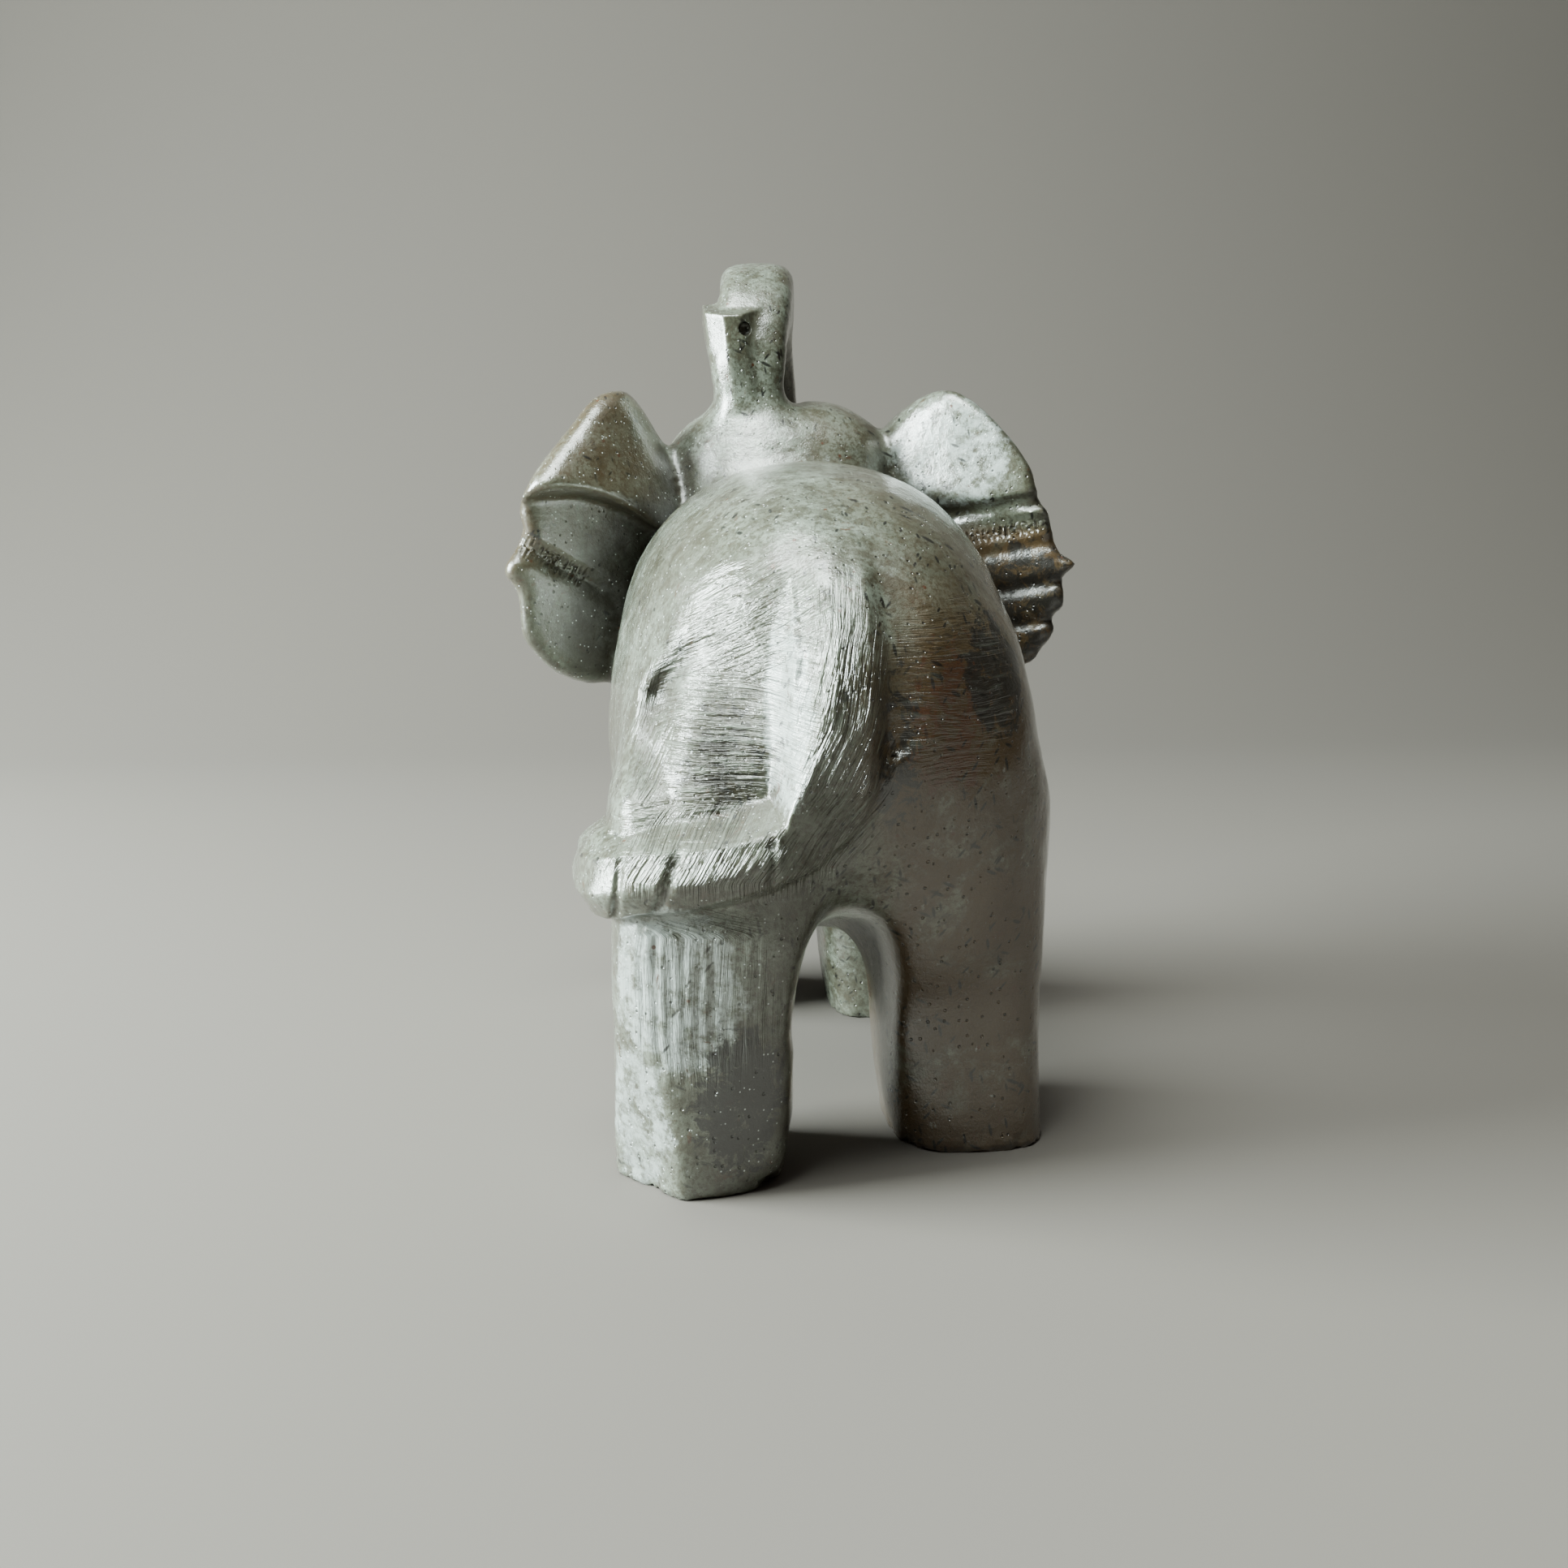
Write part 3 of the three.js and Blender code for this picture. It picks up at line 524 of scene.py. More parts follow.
@dataclass(frozen=True)
class Trunk:
    """Trunk that rises from the face and curls back. Each row is x, y, z, half width and half thickness."""

    rows: tuple[tuple[float, ...], ...] = (
        (0, 56, 49, 7.5, 8),
        (0, 62.5, 52.5, 6.2, 6.5),
        (-0.3, 66.2, 59.5, 5.2, 5.4),
        (-0.8, 66.4, 68, 4.7, 4.8),
        (-1.4, 63, 75.8, 4.5, 4.5),
        (-2, 56, 79.6, 4.4, 4.4),
        (-2.7, 49.5, 77.6, 4.3, 4.3),
        (-3.6, 45.6, 72.4, 4.2, 4.2),
        (-3.6, 44.6, 65, 3.4, 3.8),
    )
    power: float = 4.0
    steps: int = 4
    low: Triple = (-9, 40, 40)
    high: Triple = (9, 73, 85)

    def depth(self, p: Array) -> Array:
        """Field of the curled trunk."""
        return near(p, self.low, self.high, self._close)

    def _close(self, p: Array) -> Array:
        """Rounded rectangle about the nearest place of the centre line, as the trunk is seen from its side.

        Args:
            p: Points in mm.

        Returns:
            The field's value at each point.
        """
        line = smooth_rows(list(self.rows), self.steps)
        nearest = np.full(len(p), FAR)
        row = np.zeros((len(p), 5))
        side_view = p[:, 1:3]
        for here, there in zip(line, line[1:]):
            run = there[1:3] - here[1:3]
            t = np.clip((side_view - here[1:3]) @ run / (run @ run), 0, 1)
            blended = here + t[:, None] * (there - here)
            away = np.hypot(*(side_view - blended[:, 1:3]).T)
            closer = away < nearest
            nearest[closer] = away[closer]
            row[closer] = blended[closer]
        return rounded_section(p[:, 0] - row[:, 0], nearest, row[:, 3], row[:, 4], self.power)


@dataclass(frozen=True)
class TrunkEnd:
    """Faceted end of the trunk, which leans on the back of the crown, with one drilled nostril."""

    foot: float = 62.0
    top: float = 76.6
    middle: Pair = (-3.1, 43.8)
    lean: Pair = (-1.9, 1.0)
    half_width: float = 3.5
    half_depth: float = 3.3
    wider: float = 0.3
    deeper: float = 0.5
    facet_slope: Pair = (0.8, 0.6)
    right_facet: Pair = (2.4, 0.2)
    cap: Plane = Plane((-5.2, 41, 76.6), (-0.06, -0.3, 1))
    sunk: float = 2.0
    edge: float = 0.4
    facet_edge: float = 0.3
    foot_seam: float = 1.0
    nostril: Triple = (-4.3, 42.6, 75.0)
    nostril_radius: float = 0.6
    low: Triple = (-10, 39, 60)
    high: Triple = (2, 49, 79)

    def depth(self, p: Array) -> Array:
        """Field of the trunk's end."""
        return near(p, self.low, self.high, self._close)

    def _close(self, p: Array) -> Array:
        """Upright block that widens upwards, its two rear corners cut to facets and its top sloping.

        Args:
            p: Points in mm.

        Returns:
            The field's value at each point.
        """
        t = np.clip((p[:, 2] - self.foot) / (self.top - self.foot), 0, 1)
        dx = p[:, 0] - self.middle[0] - self.lean[0] * t
        dy = p[:, 1] - self.middle[1] - self.lean[1] * t
        half = self.half_width + self.wider * t * t
        form = meet(np.abs(dx) - half, np.abs(dy) - self.half_depth - self.deeper * t, self.edge)
        slope_x, slope_y = self.facet_slope
        form = meet(form, -slope_x * dx - slope_y * dy - half, self.facet_edge)
        right = slope_x * dx - slope_y * dy - self.right_facet[0] - self.right_facet[1] * t
        form = meet(form, right, self.facet_edge)
        form = meet(form, self.cap.depth(p), self.edge)
        form = meet(form, self.foot - self.sunk - p[:, 2], self.foot_seam)
        bore = np.hypot(p[:, 0] - self.nostril[0], p[:, 2] - self.nostril[2]) - self.nostril_radius
        return carve(form, np.maximum(bore, p[:, 1] - self.nostril[1]), self.facet_edge)


@dataclass(frozen=True)
class Groove:
    """Groove across an ear, from its rim to its root, as distance from the middle and height."""

    start: Pair
    end: Pair
    depth: float
    half: float

    def place(self, u: Array, v: Array) -> tuple[Array, Array, float]:
        """Where points lie by the groove.

        Args:
            u: Distance of each point from the elephant's middle.
            v: Its height.

        Returns:
            How far along the groove and how far beside it each point is, and the groove's length.
        """
        run = np.subtract(self.end, self.start)
        length = np.linalg.norm(run)
        along = ((u - self.start[0]) * run[0] + (v - self.start[1]) * run[1]) / length
        across = np.abs((u - self.start[0]) * run[1] - (v - self.start[1]) * run[0]) / length
        return along, across, length


@dataclass(frozen=True)
class Ear:
    """One ear: a thick fan that sweeps back, its rear face stepped under the upper fold, and grooved."""

    side: Side
    outline: tuple[Pair, ...]
    grooves: tuple[Groove, ...]
    step_height: float
    step_bow: float
    step_slant: float
    step_rise: float
    step_width: float
    taper: float
    fold_top: Pair = (17.2, 70.0)
    fold_foot: Pair = (19.4, 57.4)
    fold_halves: Pair = (1.0, 9.4)
    fold_bulge: float = 0.3
    disc_bulge: float = 0.0
    gouges: tuple[Groove, ...] = ()
    gouge_spacing: float = 0.56
    sweep: float = 32.0
    root: float = 10.0
    root_depth: float = 47.5
    span: float = 25.0
    step_middle: float = 23.5
    slant_middle: float = 22.0
    disc_middle: float = 22.0
    disc_half: float = 9.0
    taper_reach: float = 12.0
    steepest: float = 40.0
    thickness: float = 5.0
    rear_extra: float = 0.1
    groove_fade: float = 0.6
    front_share: float = 0.6
    face_edge: float = 1.5
    rounding: float = 3.0
    steps: int = 3
    near_x: Pair = (7, 32)
    near_y: Pair = (28, 54)
    near_z: Pair = (36, 70)

    def depth(self, p: Array) -> Array:
        """Field of the ear.

        Args:
            p: Points in mm.

        Returns:
            The field's value at each point.
        """
        low, high = sorted(self.side.value * x for x in self.near_x)
        lowest = (low, self.near_y[0], self.near_z[0])
        return near(p, lowest, (high, self.near_y[1], self.near_z[1]), self._close)

    def _outline_distance(self, u: Array, v: Array) -> Array:
        """Distance from the closed outline, below nought where a ray crosses an odd number of edges.

        Args:
            u: Distance of each point from the elephant's middle.
            v: Its height.

        Returns:
            The distance, in mm.
        """
        ring = smooth_rows(list(self.outline), self.steps, closed=True)
        nearest = np.full(len(u), FAR)
        inside = np.zeros(len(u), bool)
        for (ax, ay), (bx, by) in zip(ring, np.roll(ring, -1, axis=0)):
            ex, ey = bx - ax, by - ay
            t = np.clip(((u - ax) * ex + (v - ay) * ey) / (ex * ex + ey * ey), 0, 1)
            nearest = np.minimum(nearest, (u - ax - t * ex) ** 2 + (v - ay - t * ey) ** 2)
            if ey != 0:
                inside ^= ((ay > v) != (by > v)) & (u < ax + (v - ay) / ey * ex)
        return np.sqrt(nearest) * np.where(inside, -1, 1)

    def _fold(self, u: Array, v: Array) -> Array:
        """Bulge of the upper fold, a cone that widens downwards: its half width times part of a half circle.

        Args:
            u: Distance of each point from the elephant's middle.
            v: Its height.

        Returns:
            The bulge, in mm.
        """
        run = np.subtract(self.fold_foot, self.fold_top)
        length = np.linalg.norm(run)
        run = run / length
        t = np.clip(((u - self.fold_top[0]) * run[0] + (v - self.fold_top[1]) * run[1]) / length, 0, 1)
        half = self.fold_halves[0] + t * (self.fold_halves[1] - self.fold_halves[0])
        across = (u - self.fold_top[0]) * run[1] - (v - self.fold_top[1]) * run[0]
        return self.fold_bulge * half * np.sqrt(np.clip(1 - (across / half) ** 2, 0, 1))

    def _close(self, p: Array) -> Array:
        """The outline's slab, whose rear and front stand off a middle plane by changing thicknesses.

        Args:
            p: Points in mm.

        Returns:
            The field's value at each point.
        """
        u = self.side.value * p[:, 0]
        v = p[:, 2]
        lean = math.radians(self.sweep)
        middle = self.root_depth - np.clip(u - self.root, 0, self.span) * math.tan(lean)
        bow = self.step_bow * (u - self.step_middle) ** 2
        over = v - (self.step_height - bow - self.step_slant * (u - self.slant_middle))
        above = 1 / (1 + np.exp(-np.clip(over / self.step_width, -self.steepest, self.steepest)))
        rear = self.thickness / 2 + self.rear_extra + above * (self.step_rise + self._fold(u, v))
        disc = np.sqrt(np.clip(1 - ((u - self.disc_middle) / self.disc_half) ** 2, 0, 1))
        rear = rear + (1 - above) * self.disc_bulge * disc
        rear = rear - self.taper * np.clip(over, 0, self.taper_reach)
        front = self.thickness / 2 - self.rear_extra + 0 * u
        for groove in self.grooves:
            along, across, length = groove.place(u, v)
            t = np.clip(along / length, 0, 1)
            away = np.hypot(across, along - t * length)
            cut = groove.depth * (1 - self.groove_fade * t) * np.clip(1 - away / groove.half, 0, 1)
            rear = rear - cut
            front = front - self.front_share * cut
        for row in self.gouges:
            along, across, length = row.place(u, v)
            bite = np.clip(np.cos(2 * np.pi * along / self.gouge_spacing), 0, 1)
            bite = bite * np.clip(1 - across / row.half, 0, 1)
            rear = rear - row.depth * bite * ((along > 0) & (along < length))
        off = (p[:, 1] - middle) * math.cos(lean)
        slab = meet(off - front, -off - rear, self.face_edge)
        return meet(self._outline_distance(u, v), slab, self.rounding)


LEFT_EAR = Ear(
    side=Side.LEFT,
    outline=(
        (8, 56), (10.8, 59.9), (13.4, 63.8), (16.1, 67.6), (17.8, 68.6), (20.9, 67.4), (23.5, 64),
        (25.9, 60.8), (27.8, 57.6), (28.5, 55.4), (28.2, 53.6), (29.1, 51.4), (30.2, 49.2), (28.9, 47),
        (28.6, 42.8), (27.4, 40.8), (25, 38.3), (19.6, 37), (12, 41), (8, 48),
    ),
    grooves=(Groove((30.5, 53.4), (19, 46.6), 1.2, 1.6),),
    step_height=57.4,
    step_bow=0.045,
    step_slant=0.0,
    step_rise=0.9,
    step_width=0.2,
    taper=0.06,
    fold_bulge=0.5,
    disc_bulge=1.0,
    gouges=(Groove((28.4, 52.2), (21.9, 48.4), 0.5, 1.1),),
    rounding=2.4,
)

RIGHT_EAR = Ear(
    side=Side.RIGHT,
    outline=(
        (7, 58), (9.8, 62.4), (12.5, 65.8), (15, 68), (17.6, 68.9), (20.4, 67.6), (23.4, 64.4),
        (25.9, 60.6), (26.7, 57.6), (27.9, 55.2), (28.7, 52.8), (29.2, 51.2), (30.6, 50), (29.6, 48.3),
        (29.7, 45.6), (28.8, 44.3), (28.8, 42.6), (27.6, 40.4), (25.6, 38.6), (20, 37.6), (12, 40), (7, 50),
    ),
    grooves=(
        Groove((28.5, 57), (14, 54.6), 1.2, 1.0),
        Groove((31, 53), (16, 49.6), 0.5, 0.9),
        Groove((31, 48.6), (16, 45.6), 0.7, 1.0),
        Groove((31, 44.4), (16, 42), 0.6, 0.9),
        Groove((29, 41), (18, 39.4), 0.5, 0.9),
    ),
    step_height=55.6,
    step_bow=0.0,
    step_slant=0.1,
    step_rise=1.0,
    step_width=0.5,
    taper=0.0,
    fold_bulge=0.1,
    gouges=(Groove((27.4, 54.2), (18.5, 52.4), 0.35, 0.7),),
    rounding=2.4,
)


@dataclass(frozen=True)
class Elephant:
    """The whole carving as one field."""

    body: Body = Body()
    legs: Legs = Legs()
    rump: Rump = Rump()
    head: Head = Head()
    trunk: Trunk = Trunk()
    trunk_end: TrunkEnd = TrunkEnd()
    ears: tuple[Ear, Ear] = (LEFT_EAR, RIGHT_EAR)
    leg_seam: float = 3.5
    gap_seam: float = 2.0
    tuft_seam: float = 0.5
    head_seam: float = 5.0
    trunk_seam: float = 2.5
    trunk_end_seam: float = 0.5
    ear_seam: float = 1.2
    sole_edge: float = 0.35

    def depth(self, p: Array) -> Array:
        """Field of the whole carving, cut off flat at the ground.

        Args:
            p: Points in mm.

        Returns:
            The field's value at each point.
        """
        form = join(self.body.depth(p), self.legs.depth(p), self.leg_seam)
        form = carve(form, self.legs.gap.depth(p), self.gap_seam)
        form = form - self.rump.relief(p)
        form = join(form, self.rump.tuft_end.depth(p), self.tuft_seam)
        form = join(form, self.head.depth(p), self.head_seam)
        form = self.head.with_eyes(form, p)
        form = join(form, self.trunk.depth(p), self.trunk_seam)
        form = join(form, self.trunk_end.depth(p), self.trunk_end_seam)
        form = join(form, np.minimum(*(ear.depth(p) for ear in self.ears)), self.ear_seam)
        return meet(form, -p[:, 2], self.sole_edge)


# From the field to a surface


@dataclass
class Surface:
    """Closed triangle mesh of the place where a field is nought."""

    cell: float = 0.62
    low: Triple = (-34.0, -21.0, -1.5)
    high: Triple = (35.0, 75.0, 87.0)
    coarse: int = 4
    margin: float = 1.1
    least_square: float = 0.1
    longest_move: float = 0.5
    vertices: Array = field(default_factory=lambda: np.empty((0, 3)))
    triangles: Array = field(default_factory=lambda: np.empty((0, 3), np.int64))

    def _sample(self, form: Form) -> tuple[Array, Array]:
        """Field on a regular grid: worked out near the surface, and mixed from a coarser grid elsewhere.

        Args:
            form: Gives the field at an array of points.

        Returns:
            The values, and the grid's lowest corner.
        """
        low = np.array(self.low)
        wide = self.cell * self.coarse
        cells = np.ceil((np.array(self.high) - low) / wide).astype(int)
        counts = cells * self.coarse + 1
        axes = [low[i] + wide * np.arange(cells[i] + 1) for i in range(3)]
        rough = form(np.stack(np.meshgrid(*axes, indexing="ij"), axis=-1).reshape(-1, 3)).reshape(cells + 1)
        for axis in range(3):
            place = np.arange(counts[axis]) / self.coarse
            first = np.minimum(place.astype(int), cells[axis] - 1)
            share = (place - first).reshape([-1 if i == axis else 1 for i in range(3)])
            rough = np.take(rough, first, axis) * (1 - share) + np.take(rough, first + 1, axis) * share
        close = np.abs(rough) < wide * self.margin
        rough[close] = form(low + self.cell * np.argwhere(close))
        return rough, low

    def draw(self, form: Form) -> None:
        """Surface nets: a vertex in each cell that the surface crosses, a quad round each crossed grid edge.

        Each vertex is the mean of its cell edges' crossings. Each quad is cut along its shorter diagonal.

        Args:
            form: Gives the field at an array of points.
        """
        values, low = self._sample(form)
        inside = values < 0
        shape = tuple(n - 1 for n in values.shape)
        corners = np.array([(c & 1, c >> 1 & 1, c >> 2 & 1) for c in range(8)])
        shifted = (inside[tuple(slice(o, o + n) for o, n in zip(c, shape))] for c in corners)
        filled = sum(part.astype(np.int8) for part in shifted)
        cells = np.argwhere((filled > 0) & (filled < 8))
        number = np.full(shape, -1, np.int64)
        number[tuple(cells.T)] = np.arange(len(cells))
        total = np.zeros((len(cells), 3))
        count = np.zeros(len(cells))
        for axis in range(3):
            step = np.eye(3, dtype=int)[axis]
            for corner in corners[corners[:, axis] == 0]:
                here = values[tuple((cells + corner).T)]
                there = values[tuple((cells + corner + step).T)]
                crossed = (here < 0) != (there < 0)
                t = np.where(crossed, here / np.where(crossed, here - there, 1), 0)
                total += np.where(crossed[:, None], cells + corner + t[:, None] * step, 0)
                count += crossed
        self.vertices = low + self.cell * total / count[:, None]
        quads = np.vstack([self._quads(inside, number, axis) for axis in range(3)])
        a, b, c, d = (self.vertices[quads[:, i]] for i in range(4))
        shorter = ((a - c) ** 2).sum(axis=1) <= ((b - d) ** 2).sum(axis=1)
        first = np.where(shorter[:, None], quads[:, [0, 1, 2]], quads[:, [0, 1, 3]])
        second = np.where(shorter[:, None], quads[:, [0, 2, 3]], quads[:, [1, 2, 3]])
        self.triangles = np.vstack([first, second])

    @staticmethod
    def _quads(inside: Array, number: Array, axis: int) -> Array:
        """Quads round the grid edges along one axis that cross the surface, each turned to face outwards.

        Args:
            inside: True for each grid point inside the stone.
            number: Each cell's vertex.
            axis: The edges' axis.

        Returns:
            Four vertices for each quad.
        """
        here = np.take(inside, np.arange(inside.shape[axis] - 1), axis)
        there = np.take(inside, np.arange(1, inside.shape[axis]), axis)
        edges = np.argwhere(here != there)
        one, two = [i for i in range(3) if i != axis]
        outward = here[tuple(edges.T)]
        ring = []
        for back_one, back_two in ((1, 1), (0, 1), (0, 0), (1, 0)):
            cell = edges.copy()
            cell[:, one] -= back_one
            cell[:, two] -= back_two
            ring.append(number[tuple(cell.T)])
        quads = np.stack(ring, axis=-1)
        turned = outward if axis == 1 else ~outward
        quads[turned] = quads[turned][:, ::-1]
        return quads

    def refine(self, chosen: Array) -> None:
        """Cuts each chosen triangle in four at its edges' middles, and its neighbours so that no gap opens.

        Args:
            chosen: True for each triangle to cut.
        """
        sides = self.triangles[:, [0, 1, 1, 2, 2, 0]].reshape(-1, 3, 2)
        edges, index = np.unique(np.sort(sides.reshape(-1, 2), axis=1), axis=0, return_inverse=True)
        index = index.reshape(-1, 3)
        halved = np.zeros(len(edges), bool)
        halved[index[chosen].ravel()] = True
        middle = np.full(len(edges), -1)
        middle[halved] = len(self.vertices) + np.arange(halved.sum())
        self.vertices = np.vstack([self.vertices, self.vertices[edges[halved]].mean(axis=1)])
        cut = halved[index]
        amount = cut.sum(axis=1)
        lead = np.where(amount == 1, cut.argmax(axis=1), (~cut).argmax(axis=1) + 1) % 3
        order = (lead[:, None] + np.arange(3)) % 3
        v = np.take_along_axis(self.triangles, order, axis=1)
        m = middle[np.take_along_axis(index, order, axis=1)]
        one, two, three = (amount == n for n in (1, 2, 3))
        parts = [
            v[amount == 0],
            np.stack([v[:, 0], m[:, 0], v[:, 2]], axis=1)[one],
            np.stack([m[:, 0], v[:, 1], v[:, 2]], axis=1)[one],
            np.stack([m[:, 0], v[:, 1], m[:, 1]], axis=1)[two],
            np.stack([v[:, 0], m[:, 0], m[:, 1]], axis=1)[two],
            np.stack([v[:, 0], m[:, 1], v[:, 2]], axis=1)[two],
            np.stack([v[:, 0], m[:, 0], m[:, 2]], axis=1)[three],
            np.stack([m[:, 0], v[:, 1], m[:, 1]], axis=1)[three],
            np.stack([m[:, 2], m[:, 1], v[:, 2]], axis=1)[three],
            m[three],
        ]
        self.triangles = np.vstack(parts)

    def settle(self, form: Form, rounds: int = 2, reach: float = 0.02) -> Array:
        """Moves each vertex along the field's slope until it lies on the surface.

        Args:
            form: Gives the field at an array of points.
            rounds: Number of steps: each is the value times the slope, over the slope squared.
            reach: Distance over which the slope is measured.

        Returns:
            The outward direction at each vertex.
        """
        slope = np.zeros_like(self.vertices)
        for _ in range(rounds):
            for axis in range(3):
                step = reach * np.eye(3)[axis]
                slope[:, axis] = (form(self.vertices + step) - form(self.vertices - step)) / (2 * reach)
            square = np.maximum((slope**2).sum(axis=1, keepdims=True), self.least_square)
            move = form(self.vertices)[:, None] * slope / square
            size = np.linalg.norm(move, axis=1, keepdims=True)
            longest = self.longest_move * self.cell
            self.vertices = self.vertices - move * np.minimum(1, longest / np.maximum(size, TINY))
        return slope / np.maximum(np.linalg.norm(slope, axis=1, keepdims=True), TINY)


@dataclass(frozen=True)
class Patch:
    """Where the stone was filed or is tinted: an ellipsoid that fades over its rim."""

    centre: Triple
    radii: Triple
    strength: float = 1.0
    rim: Pair = (1.1, 0.65)
    ragged: float = 0.15
    grain: float = 2.4
    seed: int = 11

    def share(self, p: Array) -> Array:
        """Strength inside, which fades to nought over the rim.

        Args:
            p: Points in mm.

        Returns:
            The share at each point.
        """
        away = np.linalg.norm((p - self.centre) / np.array(self.radii), axis=1)
        if self.ragged:
            away = away + self.ragged * cloud(p, self.grain, self.seed)
        return self.strength * ramp(-away, -self.rim[0], -self.rim[1])


def strongest(patches: tuple[Patch, ...], p: Array) -> Array:
    """The greatest share that any of the patches has at each point."""
    return np.max([patch.share(p) for patch in patches], axis=0)


class Stroke(Enum):
    """The three ways in which the file was drawn, by the column of the comb that counts its strokes."""

    UPRIGHT = 0
    LEVEL = 1
    SLANT = 2


@dataclass(frozen=True)
class Strokes:
    """Strokes of one way: how far apart and how deep they are, and the patches where they lie."""

    way: Stroke
    spacing: float
    depth: float
    patches: tuple[Patch, ...]
    fine: float = 1.0
    facing: Pair = (-0.1, 0.3)
    cut: float = 1.5
    stretch: float = 0.22
    grain: float = 0.8
    kept: Pair = (0.45, 0.9)
    seed: int = 20

    def share(self, p: Array, outward: Array) -> Array:
        """The strongest patch at each point, only where the surface faces the rear or the sides."""
        return strongest(self.patches, p) * ramp(-outward[:, 1], *self.facing)

    def relief(self, p: Array, outward: Array, comb: Array) -> Array:
        """Depth of the furrows, in mm: a rounded furrow for each spacing, broken up along its length.

        Args:
            p: Points on the surface.
            outward: The outward direction at each.
            comb: Coordinates that count the strokes of each way.

        Returns:
            The height over the plain surface, below nought in the furrows.
        """
        across = comb[:, self.way.value]
        furrow = 1 - np.abs(np.sin(np.pi * across / self.spacing))
        long_grain = np.stack([across, self.stretch * p[:, 0], self.stretch * p[:, 2]], axis=1)
        unevenness = cloud(long_grain, self.grain, self.seed + self.way.value)
        broken = np.clip(self.kept[0] + self.kept[1] * unevenness, 0, 1)
        return -self.cut * self.depth * self.share(p, outward) * broken * furrow


@dataclass(frozen=True)
class FileMarks:
    """Every patch of file marks, the slow unevenness of hand work, and the chipped edges of the soles."""

    strokes: tuple[Strokes, ...] = (
        Strokes(
            Stroke.UPRIGHT,
            0.82,
            0.085,
            (
                Patch((-0.9, -14, 38), (4.3, 9, 12.5)),
                Patch((-9.5, -13, 28.6), (11, 9, 3.8), 0.8),
                Patch((-16, -6, 38), (2.4, 9, 8), 0.6),
            ),
        ),
        Strokes(Stroke.UPRIGHT, 1.1, 0.17, (Patch((-12.3, -13, 17.5), (6.6, 9, 9.0)),), 0.45),
        Strokes(
            Stroke.LEVEL,
            0.9,
            0.07,
            (
                Patch((-10.4, -12.5, 38), (5.4, 9, 7.5)),
                Patch((-4.9, -13, 41.5), (2.3, 9, 8.5), 0.6),
                Patch((8.5, -11, 41), (6.5, 11, 8), 0.35),
                Patch((-15, -12, 30.5), (5, 9, 2.6), 0.6),
            ),
        ),
        Strokes(
            Stroke.SLANT,
            0.95,
            0.06,
            (Patch((-8.2, -10, 46.8), (7, 9, 5)), Patch((-14, -8, 42), (3, 8, 5), 0.7)),
        ),
    )
    sweep_z: tuple[float, ...] = (27, 30, 33.5, 38.4, 41.4, 46, 50)
    sweep_x: tuple[float, ...] = (-8.6, -6.6, -4.0, -1.9, -1.2, 0, 0)
    sweep_start: Pair = (22, 25)
    sway: Triple = (0.30, 5.0, 5)
    bow: Triple = (0.016, -11, 8)
    slope: Pair = (0.88, -0.48)
    worn: float = -0.12
    unevenness: tuple[Triple, ...] = ((0.20, 8.0, 1), (0.11, 3.4, 2), (0.04, 1.4, 3))
    level_rim: Pair = (0.1, 1.2)
    chip_depth: float = 0.5

    def comb(self, p: Array) -> Array:
        """Coordinates that count the strokes, in mm.

        Upright strokes are counted across, after the tail's own sweep to the left is taken away. Level ones
        are counted upwards, bowed by the square of the place across. Slanting ones are counted across their
        slope. All are pushed about a little by a slow unevenness.

        Args:
            p: Points on the surface.

        Returns:
            The three counts for each point.
        """
        x, _, z = p.T
        height, grain, seed = self.sway
        sway = height * cloud(p, grain, seed)
        upright = x - np.interp(z, self.sweep_z, self.sweep_x) * ramp(z, *self.sweep_start)
        bend, middle, reach = self.bow
        level = z + bend * np.clip(x - middle, -reach, reach) ** 2
        slant = self.slope[0] * z + self.slope[1] * x
        return np.stack([upright + sway, level + sway, slant + sway], axis=1)

    def relief(self, p: Array, outward: Array) -> Array:
        """Height of the marks over the settled surface, in mm.

        Args:
            p: Points on the surface.
            outward: The outward direction at each.

        Returns:
            The slow unevenness, the furrows and the chips together.
        """
        height = self.worn + sum(part * cloud(p, grain, seed) for part, grain, seed in self.unevenness)
        height = height * ramp(p[:, 2], *self.level_rim)
        comb = self.comb(p)
        for strokes in self.strokes:
            height = height + strokes.relief(p, outward, comb)
        return height + self._chips(p)

    def _chips(self, p: Array) -> Array:
        """Small bites out of the soles' edges, where a coarse unevenness is at its lowest."""
        edge = ramp(-p[:, 2], -1.5, -0.2) * ramp(p[:, 2], 0.02, 0.25)
        return -self.chip_depth * edge * ramp(-cloud(p, 1.6, 7), 0.15, 0.6)


# Finish

MIX_FIRST = 6
MIX_SECOND = 7
MIX_RESULT = 2


